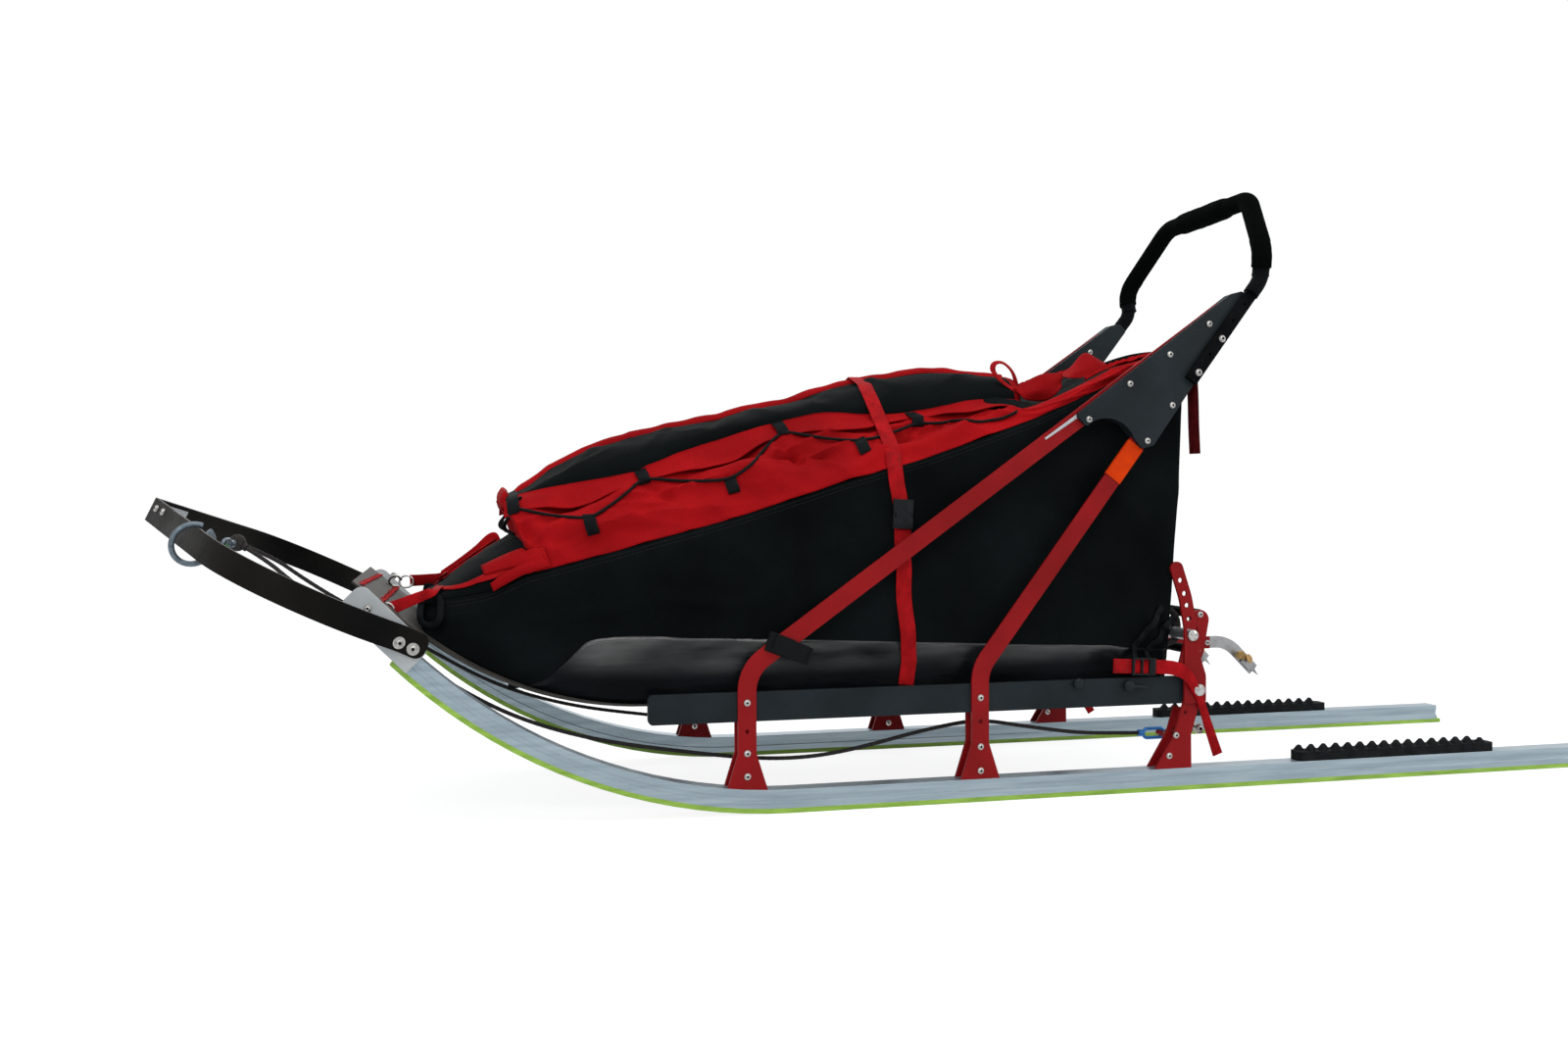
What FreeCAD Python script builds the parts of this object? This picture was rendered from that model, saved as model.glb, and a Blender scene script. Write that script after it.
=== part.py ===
import FreeCAD, Part
import math
import os

os.makedirs("parts", exist_ok=True)
V = FreeCAD.Vector

# Dog sled with a claw brake, in millimetres. +X points forward, +Y to the sled's left, +Z up.
# The origin lies on the snow under the middle of the sled. Places along the sled are given as
# "aft", the distance behind the front post, and heights as "up", the height over the runner's top.

# Whole sled
tail_behind_post = 1687.0
bow_ahead_of_post = 940.0
runner_spacing = 500.0
overrun = 5.0
seat_gap = 0.3

# Runners: an aluminium rail over a slide-on plastic base
runner_width = 34.0
rail_height = 30.0
base_height = 8.0
nose_radius = 870.0
nose_turn = 45.3
nose_start_aft = 70.0
base_tail_overhang = 10.0
rail_groove_depth = 2.0
rail_groove_height = 9.0
dovetail_neck = 12.0
dovetail_root = 16.0
dovetail_height = 5.0
dovetail_gap = 0.2

# Posts: flat bars on flared feet, the first two bent back into long stays
plate_thickness = 5.0
foot_gap = 22.0
foot_width = 68.0
foot_flare_height = 60.0
bar_width = 30.0
front_bend_up = 193.0
front_stay_slope = 35.0
front_stay_reach = 862.0
middle_post_aft = 396.0
middle_bend_up = 182.0
middle_stay_slope = 52.0
middle_stay_reach = 768.0
bend_radius = 66.0
side_lean = 3.0
stay_start_up = 158.0
rear_post_aft = 750.0
rear_post_lean = 17.0
rear_post_length = 158.0
inner_plate_height = 152.0
rear_inner_plate_height = 100.0
spacer_diameter = 14.0
low_spacer_up = 22.0
high_spacer_up = 59.0
rail_spacer_up = 136.0
spare_hole_diameter = 7.0
spare_hole_up = 96.0

# Side rails and the bed sheet
rail_board_front_ahead = 158.0
rail_board_rear_aft = 785.0
rail_board_bottom_up = 111.0
rail_board_depth = 47.0
rail_board_thickness = 12.0
rail_board_corner = 8.0
bed_thickness = 3.0
bed_half_width = 228.0
bed_rear_aft = 745.0
bed_curve_start_ahead = 155.0
bed_radius = 560.0
bed_turn = 40.0
bed_nose_length = 116.0
cross_tube_diameter = 25.0
cross_tube_wall = 2.0
cross_tube_lift = 1.0
nose_tube_diameter = 16.0
nose_tube_setback = 36.0

# Nose plates and the bow
nose_plate_thickness = 6.0
nose_plate_width = 52.0
nose_plate_length = 142.0
nose_plate_tail = 26.0
nose_plate_corner = 16.0
bow_height = 40.0
bow_thickness = 7.0
bow_rear_ahead = 494.0
bow_rear_up = 243.0
bow_slope = 25.9
bow_straight = 40.0
bow_flare_radius = 40.0
bow_belly_share = 0.502
bow_belly_half = 434.0
bow_belly_radius = 190.0
bow_end_radius = 15.0
joint_plate_leg = 70.0
joint_plate_radius = 12.0
joint_plate_height = 28.0
joint_plate_thickness = 3.0

# Gussets and handlebar
gusset_thickness = 8.0
gusset_front_aft = 576.0
gusset_low_up = 551.0
gusset_length = 336.0
gusset_height = 278.0
gusset_corner = 12.0
gusset_arc_radius = 54.5
bar_diameter = 27.0
bar_wall = 2.0
bar_low_aft = 790.0
bar_low_up = 668.5
bar_bend_aft = 929.0
bar_bend_up = 895.0
bar_bend_bow = 12.0
bar_knee_drop = 46.0
bar_knee_setback = 2.0
bar_knee_radius_share = 0.85
bar_bend_radius_share = 1.0
bar_top_aft = 967.0
bar_top_up = 1011.0
bar_top_half = 146.0
bar_top_radius = 48.0
flat_end_width = 22.0
flat_end_thickness = 8.0
flat_end_length = 196.0
flat_end_plug = 20.0
flat_hole_diameter = 5.0
flat_hole_setback = 21.0
flat_hole_pitch = 37.9
flat_hole_count = 5
grip_thickness = 3.5

# Rear uprights and the rear cross tube
upright_aft = 783.0
upright_width = 30.0
upright_low_up = 112.0
upright_top_up = 243.0
upright_heel = 11.0
upright_heel_up = 160.0
upright_neck_up = 192.0
upright_corner = 5.0
upright_slot_width = 20.4
upright_slot_up = 219.0
rear_tube_up = 229.2

# Claw brake, shown raised
hinge_aft = 794.0
hinge_up = 135.0
hinge_pin_diameter = 10.0
hinge_pin_gap = 0.05
hinge_head_diameter = 20.0
hinge_head_height = 6.0
hinge_collar_diameter = 18.0
brake_arm_outer_y = 217.0
brake_arm_thickness = 5.0
arm_hinge_lobe = 16.0
arm_top_aft = 828.0
arm_top_up = 250.0
arm_top_lobe = 18.0
arm_claw_aft = 824.0
arm_claw_up = 195.0
arm_claw_lobe = 12.0
foot_bar_diameter = 18.0
foot_bar_aft = 829.0
foot_bar_up = 260.0
lever_width = 24.0
lever_low_aft = 808.0
lever_low_up = 236.0
lever_bow = 4.0
lever_bend_radius = 180.0
lever_top_aft = 781.0
lever_top_up = 342.0
lever_hole_diameter = 9.0
lever_hole_shares = (0.16, 0.377, 0.575, 0.80)
claw_bar_diameter = 16.0
claw_spacing = 170.0
claw_thickness = 4.0
claw_width = 22.0
claw_bend_aft = 962.0
claw_end_aft = 1017.0
claw_end_up = 140.0
claw_bend_radius = 60.0
claw_tip_length = 18.0
claw_tip_diameter = 7.0
claw_block_length = 108.0
claw_block_width = 18.0
claw_block_height = 22.0
claw_slot_length = 60.0

# Foot pads
pad_behind_foot = 212.0
pad_length = 402.0
pad_width = 34.0
pad_base = 16.0
pad_corner = 8.0
knob_height = 9.0
knob_base = 14.0
knob_top = 4.0
knob_columns = 15
knob_rows = 2

# Load bag: soft panels over the bed
fabric = 4.0
bag_front_ahead = 500.0
bag_length = 1260.0
bag_height = 575.0
bag_half_width = 229.0
bag_rear_setback = 45.0
bag_bulge = 8.0
lid_half_width = 120.0
station_shares = (0.0, 0.05, 0.10, 0.17, 0.25, 0.34, 0.44, 0.55, 0.66, 0.76, 0.84, 0.92, 1.0)
seam_shares = (0.27, 0.285, 0.315, 0.36, 0.40, 0.46, 0.53, 0.60, 0.685, 0.76, 0.83, 0.91, 1.0)
lid_edge_shares = (0.28, 0.37, 0.535, 0.575, 0.625, 0.68, 0.75, 0.80, 0.81, 0.84, 0.875, 0.93, 1.005)
ridge_shares = (0.29, 0.40, 0.56, 0.65, 0.73, 0.795, 0.85, 0.90, 0.945, 0.945, 0.93, 0.965, 1.02)
width_shares = (0.72, 0.77, 0.82, 0.88, 0.95, 0.98, 1.0, 1.0, 1.0, 0.99, 0.97, 0.95, 0.93)
seam_pull_share = 0.93
lid_width_shares = (0.55, 0.70, 0.85, 0.92, 1.0, 1.0, 1.0, 1.0, 1.0, 1.0, 1.05, 1.15, 1.25)

# Ropes and tow hardware
rope_diameter = 7.0
ring_inner = 52.0
ring_wire = 9.0
ring_setback = 219.0
ring_opening_angle = 25.0
tow_rise_angle = 14.3
tow_swing_angle = 44.8
loop_wire = 6.0
loop_bend = 8.0
loop_length = 26.0
shackle_wire = 6.0
shackle_bend = 8.0
shackle_length = 8.0
swivel_diameter = 12.0
swivel_length = 12.0
knot_diameter = 27.0
knot_neck = 18.0
knot_neck_diameter = 11.0
link_wire = 6.0
link_bend = 8.0
link_length = 24.0
link_aft = 757.0
link_up = 51.5
link_stud_diameter = 9.4
link_sleeve_diameter = 12.0

# Values worked out from those above
runner_y = runner_spacing / 2
rail_top = base_height + rail_height
front_post_x = (tail_behind_post - bow_ahead_of_post) / 2
tail_x = front_post_x - tail_behind_post
tip_x = front_post_x + bow_ahead_of_post
outer_plate_y = runner_y + foot_gap / 2
inner_plate_y = runner_y - foot_gap / 2
plate_face_y = outer_plate_y + plate_thickness
bed_curve_start_aft = -bed_curve_start_ahead
bow_rear_aft = -bow_rear_ahead


def x_at(aft):
    return front_post_x - aft


def z_at(up):
    return rail_top + up


def point(aft, up, y=0.0):
    return V(x_at(aft), y, z_at(up))


def mirrored(shape):
    return shape.mirror(V(0, 0, 0), V(0, 1, 0))


def save(shape, node):
    shape.exportStep("parts/" + node + ".step")


def save_pair(shape, node):
    save(shape, node + "_left")
    save(mirrored(shape), node + "_right")


def save_both(shape, node):
    """One node that holds a piece and its twin on the other side."""
    save(Part.makeCompound([shape, mirrored(shape)]), node)


def polygon(points):
    return Part.Face(Part.makePolygon(list(points) + [points[0]]))


def rounded_edges(points, radii):
    """Straight runs between the points, with an arc of each radius at the points between the ends."""
    edges = []
    start = points[0]
    for before, corner, after, radius in zip(points, points[1:], points[2:], radii):
        u = (corner - before).normalize()
        v = (after - corner).normalize()
        turn = u.getAngle(v)
        reach = radius * math.tan(turn / 2)
        first = corner - u * reach
        last = corner + v * reach
        centre = corner + (v - u).normalize() * (radius / math.cos(turn / 2))
        middle = centre + (corner - centre).normalize() * radius
        edges.append(Part.LineSegment(start, first).toShape())
        edges.append(Part.Arc(first, middle, last).toShape())
        start = last
    edges.append(Part.LineSegment(start, points[-1]).toShape())
    return edges


def tube(points, radii, diameter):
    path = Part.Wire(rounded_edges(points, radii))
    along = points[1] - points[0]
    ring = Part.Wire(Part.makeCircle(diameter / 2, points[0], along))
    return path.makePipeShell([ring], True, False)


def rod(start, end, diameter):
    return Part.makeCylinder(diameter / 2, (end - start).Length, start, end - start)


def cross_rod(aft, up, half, diameter):
    return Part.makeCylinder(diameter / 2, 2 * half, point(aft, up, -half), V(0, 1, 0))


def rounded_plate(points, radii, y, thickness):
    """Closed outline in a plane across Y, every corner with its own radius, extruded along Y."""
    middle = (points[0] + points[-1]) * 0.5
    loop = [middle] + list(points) + [middle]
    face = Part.Face(Part.Wire(rounded_edges(loop, radii)))
    face.translate(V(0, y, 0))
    return face.extrude(V(0, thickness, 0))


def strip(points, radii, width, y, thickness):
    """Flat bar of one width that follows straight runs and bends in a plane across Y."""
    path = Part.Wire(rounded_edges(points, radii))
    across = (points[1] - points[0]).normalize().cross(V(0, 1, 0)) * (width / 2)
    low = points[0] - across
    high = points[0] + across
    depth = V(0, thickness, 0)
    section = Part.makePolygon([low, high, high + depth, low + depth, low])
    bar = path.makePipeShell([section], True, False)
    bar.translate(V(0, y, 0))
    return bar


def hole_across(aft, up, y, thickness, diameter):
    return Part.makeCylinder(diameter / 2, thickness + 2 * overrun, point(aft, up, y - overrun), V(0, 1, 0))


def leaned(shape):
    """Leans a side piece inwards about a line along the sled at the top of the side rail."""
    tilted = shape.copy()
    tilted.rotate(V(0, plate_face_y, z_at(stay_start_up)), V(1, 0, 0), side_lean)
    return tilted


# Runners

def along_runner(section, tail):
    """Section drawn across the flat run's front end, drawn out to the tail and round the nose."""
    curve_x = x_at(nose_start_aft)
    flat = section.extrude(V(tail - curve_x, 0, 0))
    nose = section.revolve(V(curve_x, 0, nose_radius), V(0, -1, 0), nose_turn)
    return flat.fuse(nose).removeSplitter()


def across_runner(pairs):
    curve_x = x_at(nose_start_aft)
    return polygon([V(curve_x, runner_y + y, z) for y, z in pairs])


def runner_rail():
    half = runner_width / 2
    groove_low = base_height + (rail_height - rail_groove_height) / 2
    groove_high = groove_low + rail_groove_height
    shy = half - rail_groove_depth
    side = [(half, base_height), (half, groove_low), (shy, groove_low), (shy, groove_high),
            (half, groove_high), (half, rail_top)]
    neck = dovetail_neck / 2
    root = dovetail_root / 2
    slot_top = base_height + dovetail_height
    slot = [(-neck, base_height), (-root, slot_top), (root, slot_top), (neck, base_height)]
    other_side = [(-y, z) for y, z in reversed(side)]
    return along_runner(across_runner(slot + side + other_side), tail_x + base_tail_overhang)


def runner_base():
    half = runner_width / 2
    neck = dovetail_neck / 2 - dovetail_gap
    root = dovetail_root / 2 - dovetail_gap
    rib_top = base_height + dovetail_height - dovetail_gap
    outline = [(-half, 0.0), (half, 0.0), (half, base_height), (neck, base_height), (root, rib_top),
               (-root, rib_top), (-neck, base_height), (-half, base_height)]
    return along_runner(across_runner(outline), tail_x)


# Posts

def foot(aft, lean, y):
    """Flared foot that narrows from the runner to the bar's width."""
    half = foot_width / 2
    shift = foot_flare_height * math.tan(math.radians(lean))
    low = [point(aft - half, 0), point(aft + half, 0)]
    high = [point(aft + shift + bar_width / 2, foot_flare_height),
            point(aft + shift - bar_width / 2, foot_flare_height)]
    face = polygon(low + high)
    face.translate(V(0, y, 0))
    return face.extrude(V(0, plate_thickness, 0))


def stay_post(aft, bend_up, slope, reach_aft):
    """Post and stay in one bar: upright on its foot, then bent back and leaned in to the gusset."""
    rise = (reach_aft - aft) * math.tan(math.radians(slope))
    start = point(aft, foot_flare_height / 2)
    lean_start = point(aft, stay_start_up)
    corner = point(aft, bend_up)
    end = point(reach_aft, bend_up + rise)
    upright = strip([start, lean_start], [], bar_width, outer_plate_y, plate_thickness)
    stay = strip([lean_start, corner, end], [bend_radius], bar_width, outer_plate_y, plate_thickness)
    post = foot(aft, 0.0, outer_plate_y).fuse([upright, leaned(stay)])
    hole = hole_across(aft, spare_hole_up, outer_plate_y, plate_thickness, spare_hole_diameter)
    return post.cut([hole, runner_rail()]).removeSplitter()


def rear_post():
    rise = rear_post_length * math.cos(math.radians(rear_post_lean))
    run = rear_post_length * math.sin(math.radians(rear_post_lean))
    start_up = foot_flare_height / 2
    start = point(rear_post_aft + start_up * math.tan(math.radians(rear_post_lean)), start_up)
    bar = strip([start, point(rear_post_aft + run, rise)], [], bar_width, outer_plate_y, plate_thickness)
    hole_aft = rear_post_aft - bar_width / 4 + spare_hole_up * math.tan(math.radians(rear_post_lean))
    hole = hole_across(hole_aft, spare_hole_up, outer_plate_y, plate_thickness, spare_hole_diameter)
    post = foot(rear_post_aft, rear_post_lean, outer_plate_y).fuse(bar)
    return post.cut([hole, hinge_bore(outer_plate_y, plate_thickness)]).removeSplitter()


def inner_plate(aft, lean, height):
    """Short twin of the post on the runner's inner side."""
    y = inner_plate_y - plate_thickness
    tip = aft + height * math.tan(math.radians(lean))
    start = aft + foot_flare_height / 2 * math.tan(math.radians(lean))
    bar = strip([point(start, foot_flare_height / 2), point(tip, height)], [], bar_width, y, plate_thickness)
    return foot(aft, lean, y).fuse(bar).cut(runner_rail()).removeSplitter()


def inner_plates():
    return Part.makeCompound([inner_plate(0.0, 0.0, inner_plate_height),
                              inner_plate(middle_post_aft, 0.0, inner_plate_height),
                              inner_plate(rear_post_aft, rear_post_lean, rear_inner_plate_height).fuse(
                                  link_stud())])


def foot_spacers():
    pieces = []
    for aft, lean in ((0.0, 0.0), (middle_post_aft, 0.0), (rear_post_aft, rear_post_lean)):
        for up in (low_spacer_up, high_spacer_up):
            place = point(aft + up * math.tan(math.radians(lean)), up, inner_plate_y)
            pieces.append(Part.makeCylinder(spacer_diameter / 2, foot_gap, place, V(0, 1, 0)))
    for aft in (0.0, middle_post_aft):
        place = point(aft, rail_spacer_up, inner_plate_y)
        pieces.append(Part.makeCylinder(spacer_diameter / 2, foot_gap - rail_board_thickness, place,
                                        V(0, 1, 0)))
    return Part.makeCompound(pieces)


# Side rails, cross tubes and bed

def side_rail():
    front = -rail_board_front_ahead
    rear = rail_board_rear_aft
    low = rail_board_bottom_up
    high = low + rail_board_depth
    corners = [point(front, low), point(front, high), point(rear, high), point(rear, low)]
    return rounded_plate(corners, [rail_board_corner] * len(corners), outer_plate_y - rail_board_thickness,
                         rail_board_thickness)


def bed_top_up(aft):
    """Height of the bed's upper face over the runner's top, flat first and then on the bed's arc."""
    flat = bed_flat_up + bed_thickness
    ahead = bed_curve_start_aft - aft
    if ahead <= 0:
        return flat
    inner_radius = bed_radius - bed_thickness / 2
    on_arc = min(ahead, inner_radius * math.sin(math.radians(bed_turn)))
    rise = inner_radius - math.sqrt(inner_radius ** 2 - on_arc ** 2)
    return flat + rise + (ahead - on_arc) * math.tan(math.radians(bed_turn))


bed_flat_up = rail_board_bottom_up + cross_tube_diameter + cross_tube_lift
bed_corner_run = bed_radius * math.tan(math.radians(bed_turn / 2))
bed_corner_aft = bed_curve_start_aft - bed_corner_run
bed_nose_run = bed_corner_run + bed_nose_length
bed_nose_aft = bed_corner_aft - bed_nose_run * math.cos(math.radians(bed_turn))
bed_nose_up = bed_flat_up + bed_nose_run * math.sin(math.radians(bed_turn))


def bed_sheet():
    """Plastic sheet that lies flat on the cross tubes and sweeps up to the nose."""
    middle_up = bed_thickness / 2
    route = [point(bed_rear_aft, bed_flat_up + middle_up), point(bed_corner_aft, bed_flat_up + middle_up),
             point(bed_nose_aft, bed_nose_up + middle_up)]
    return strip(route, [bed_radius], bed_thickness, -bed_half_width, 2 * bed_half_width)


def cross_tubes():
    half = inner_plate_y - plate_thickness
    up = bed_flat_up - cross_tube_diameter / 2
    tubes = []
    for aft in (0.0, middle_post_aft, rear_post_aft - foot_width):
        outer = cross_rod(aft, up, half, cross_tube_diameter)
        bore = cross_rod(aft, up, half + overrun, cross_tube_diameter - 2 * cross_tube_wall)
        tubes.append(outer.cut(bore))
    return Part.makeCompound(tubes)


def nose_tube():
    turn = math.radians(bed_turn)
    drop = nose_tube_diameter / 2 + seat_gap + bed_thickness / 2
    aft = bed_nose_aft + nose_tube_setback * math.cos(turn) - drop * math.sin(turn)
    up = bed_nose_up + bed_thickness / 2 - nose_tube_setback * math.sin(turn) - drop * math.cos(turn)
    return cross_rod(aft, up, runner_y + runner_width / 2, nose_tube_diameter)


# Nose plates and bow

def nose_plate():
    """Flat plate on the rail's outer face that carries the line of the nose forward and up."""
    turn = math.radians(nose_turn)
    forward = V(math.cos(turn), 0, math.sin(turn))
    above = V(-math.sin(turn), 0, math.cos(turn))
    end = V(x_at(nose_start_aft) + nose_radius * math.sin(turn), 0, nose_radius * (1 - math.cos(turn)))
    low_rear = end + above * base_height - forward * nose_plate_tail
    low_front = low_rear + forward * nose_plate_length
    rise = above * nose_plate_width
    corners = [low_rear, low_front, low_front + rise, low_rear + rise]
    radii = [seat_gap, nose_plate_corner, nose_plate_corner, nose_plate_corner]
    return rounded_plate(corners, radii, runner_y + runner_width / 2, nose_plate_thickness)


def bow_slanted(shape):
    """Tilts a piece drawn level at the bow's rear end up into the bow's sloping plane."""
    tilted = shape.copy()
    tilted.rotate(point(bow_rear_aft, bow_rear_up), V(0, 1, 0), -bow_slope)
    return tilted


def bow_level(run, y):
    return point(bow_rear_aft - run, bow_rear_up, y)


bow_rear_y = runner_y + runner_width / 2 + nose_plate_thickness + seat_gap + bow_thickness / 2


def bow_tip_run():
    """Run of the band's middle line from its rear end to the bow's point, along the slope."""
    slope = math.radians(bow_slope)
    reach = tip_x - x_at(bow_rear_aft) - bow_height / 2 * math.sin(slope)
    run = reach / math.cos(slope)
    point_angle = math.atan2(bow_belly_half, run * (1 - bow_belly_share))
    return run - bow_thickness / 2 / math.sin(point_angle)


def bow_belly():
    return bow_level(bow_belly_share * bow_tip_run(), bow_belly_half)


def bow_band():
    """Flat band on edge, from the nose plate out round its belly and forward to the bow's point."""
    tip = bow_level(bow_tip_run(), 0.0)
    belly = bow_belly()
    past_tip = tip + (tip - belly).normalize() * 2 * bow_thickness
    route = [bow_level(0.0, bow_rear_y), bow_level(bow_straight, bow_rear_y), belly, past_tip]
    path = Part.Wire(rounded_edges(route, [bow_flare_radius, bow_belly_radius]))
    half = V(0, bow_thickness / 2, 0)
    rise = V(0, 0, bow_height / 2)
    section = Part.makePolygon([route[0] - half - rise, route[0] + half - rise, route[0] + half + rise,
                                route[0] - half + rise, route[0] - half - rise])
    band = path.makePipeShell([section], True, False)
    ends = [edge for edge in band.Edges if abs(edge.BoundBox.XMin - route[0].x) < seat_gap
            and edge.BoundBox.XLength < seat_gap and edge.BoundBox.ZLength < seat_gap]
    band = band.makeFillet(bow_end_radius, ends)
    size = 2 * bow_height
    past = Part.makeBox(size, size, size, tip - V(size / 2, size, size / 2))
    return bow_slanted(band.cut(past))


def joint_plate():
    """Bent metal plate inside the bow's point that ties the two bands together."""
    tip = bow_level(bow_tip_run(), 0.0)
    along = (bow_belly() - tip).normalize()
    inset = (bow_thickness + joint_plate_thickness) / 2 + seat_gap
    corner = tip - V(inset / along.y, 0, 0)
    left = corner + along * joint_plate_leg
    route = [left, corner, V(left.x, -left.y, left.z)]
    path = Part.Wire(rounded_edges(route, [joint_plate_radius]))
    across = V(along.y, -along.x, 0) * (joint_plate_thickness / 2)
    rise = V(0, 0, joint_plate_height / 2)
    section = Part.makePolygon([left - across - rise, left + across - rise, left + across + rise,
                                left - across + rise, left - across - rise])
    return bow_slanted(path.makePipeShell([section], True, False))


# Gussets and handlebar

def gusset():
    """Plate that ties both stays and the handlebar, with a round cut-out between the stays."""
    def corner(along, high):
        return point(gusset_front_aft + along * gusset_length, gusset_low_up + high * gusset_height)

    outline_shares = [(0.0, 0.205), (0.89, 0.98), (0.955, 1.0), (1.0, 0.95), (0.425, 0.02), (0.36, 0.0),
                      (0.305, 0.085), (0.10, 0.165), (0.055, 0.135)]
    corners = [corner(along, high) for along, high in outline_shares]
    radii = [gusset_corner / 2] * len(corners)
    plate = rounded_plate(corners, radii, plate_face_y, gusset_thickness)
    hollow = corner(0.167, -0.01)
    cut = Part.makeCylinder(gusset_arc_radius, gusset_thickness + 2 * overrun,
                            V(hollow.x, plate_face_y - overrun, hollow.z), V(0, 1, 0))
    return leaned(plate.cut(cut))


def bar_side_y(up):
    """Distance of the handlebar's side from the middle, on the gusset's leaned outer face."""
    drop = (up - stay_start_up) * math.tan(math.radians(side_lean))
    face = plate_face_y + gusset_thickness / math.cos(math.radians(side_lean))
    return face + flat_end_thickness / 2 + seat_gap - drop


def bar_route():
    knee_up = bar_bend_up - bar_knee_drop
    low = point(bar_low_aft, bar_low_up, bar_side_y(bar_low_up))
    knee = point(bar_bend_aft + bar_knee_setback, knee_up, bar_side_y(knee_up))
    bend = point(bar_bend_aft, bar_bend_up, bar_side_y(knee_up) + bar_bend_bow)
    top = point(bar_top_aft, bar_top_up, bar_top_half)
    far = [V(p.x, -p.y, p.z) for p in (top, bend, knee, low)]
    return [low, knee, bend, top] + far


def bar_start():
    """Low end of the bar's left side, the way it runs, and the way out from the gusset."""
    low, knee = bar_route()[:2]
    along = (knee - low).normalize()
    lean = math.radians(side_lean)
    out = V(0, math.cos(lean), math.sin(lean))
    return low, along, (out - along * out.dot(along)).normalize()


def bar_tube(diameter):
    low, along, out = bar_start()
    start = low + along * flat_end_length
    route = [start] + bar_route()[1:-1] + [V(start.x, -start.y, start.z)]
    radii = [bar_knee_drop * bar_knee_radius_share, bar_knee_drop * bar_bend_radius_share, bar_top_radius]
    return tube(route, radii + radii[::-1], diameter)


def flat_end():
    """Flat bar with a row of holes for the bar's height, closed into the tube by a plug."""
    low, along, out = bar_start()
    side = along.cross(out) * (flat_end_width / 2)
    back = out * (flat_end_thickness / 2)
    corners = [low - side - back, low + side - back, low + side + back, low - side + back]
    bar = polygon(corners).extrude(along * (flat_end_length + flat_end_plug))
    plug = Part.makeCylinder(bar_diameter / 2 - bar_wall, flat_end_plug, low + along * flat_end_length, along)
    holes = []
    for i in range(flat_hole_count):
        place = low + along * (flat_hole_setback + i * flat_hole_pitch) - out * flat_end_thickness
        holes.append(Part.makeCylinder(flat_hole_diameter / 2, 2 * flat_end_thickness, place, out))
    return bar.fuse(plug).cut(holes)


def handlebar():
    end = flat_end()
    hollow = bar_tube(bar_diameter).cut(bar_tube(bar_diameter - 2 * bar_wall))
    return hollow.fuse([end, mirrored(end)]).removeSplitter()


def hand_grip():
    """Foam sleeve over the top of the handlebar, from bend to bend."""
    route = bar_route()[2:-2]
    first = route[0] + (route[1] - route[0]).normalize() * bar_knee_drop * bar_bend_radius_share / 1.6
    last = V(first.x, -first.y, first.z)
    route = [first] + route[1:-1] + [last]
    radii = [bar_top_radius, bar_top_radius]
    sleeve = tube(route, radii, bar_diameter + 2 * grip_thickness)
    return sleeve.cut(tube(route, radii, bar_diameter))


# Rear uprights

def rear_upright():
    """Bar over the rear post, slotted for the cross tube, with a heel for the brake's hinge."""
    rear = upright_aft + upright_width / 2
    front = upright_aft - upright_width / 2
    corners = [point(front, upright_low_up), point(front, upright_top_up), point(rear, upright_top_up),
               point(rear, upright_neck_up), point(rear + upright_heel, upright_heel_up),
               point(rear + upright_heel, upright_low_up)]
    radii = [upright_corner, upright_corner / 2, upright_corner / 2, upright_width, upright_width,
             upright_corner]
    plate = rounded_plate(corners, radii, plate_face_y, plate_thickness)
    slot_low = upright_slot_up + upright_slot_width / 2
    slot = cross_box(upright_aft, slot_low, upright_slot_width, upright_top_up - slot_low + overrun)
    round_end = hole_across(upright_aft, slot_low, plate_face_y, plate_thickness, upright_slot_width)
    bore = hinge_bore(plate_face_y, plate_thickness)
    return plate.cut([slot, round_end, bore]).removeSplitter()


def cross_box(aft, low_up, length, height):
    corner = point(aft + length / 2, low_up, plate_face_y - overrun)
    return Part.makeBox(length, plate_thickness + 2 * overrun, height, corner)


def rear_cross_tube():
    diameter = upright_slot_width - 2 * dovetail_gap
    return cross_rod(upright_aft, rear_tube_up, plate_face_y + plate_thickness, diameter)


def hinge_bore(y, thickness):
    return hole_across(hinge_aft, hinge_up, y, thickness, hinge_pin_diameter + 2 * hinge_pin_gap)


def hinge_pin():
    """Shoulder bolt of the brake: head outside, collar between the plates, journal in the arm."""
    inner = brake_arm_outer_y - brake_arm_thickness
    axis = V(0, 1, 0)
    outer = plate_face_y + plate_thickness
    journal = Part.makeCylinder(hinge_pin_diameter / 2, outer - inner + 2 * seat_gap,
                                point(hinge_aft, hinge_up, inner - 2 * seat_gap), axis)
    head = Part.makeCylinder(hinge_head_diameter / 2, hinge_head_height,
                             point(hinge_aft, hinge_up, outer), axis)
    nut = Part.makeCylinder(hinge_head_diameter / 2, hinge_head_height,
                            point(hinge_aft, hinge_up, inner - seat_gap - hinge_head_height), axis)
    collar = Part.makeCylinder(hinge_collar_diameter / 2, outer_plate_y - brake_arm_outer_y - seat_gap,
                               point(hinge_aft, hinge_up, brake_arm_outer_y + seat_gap), axis)
    return journal.fuse([head, nut, collar]).removeSplitter()


# Brake

def lobe(aft, up, radius):
    y = brake_arm_outer_y - brake_arm_thickness
    return Part.makeCylinder(radius, brake_arm_thickness, point(aft, up, y), V(0, 1, 0))


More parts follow.
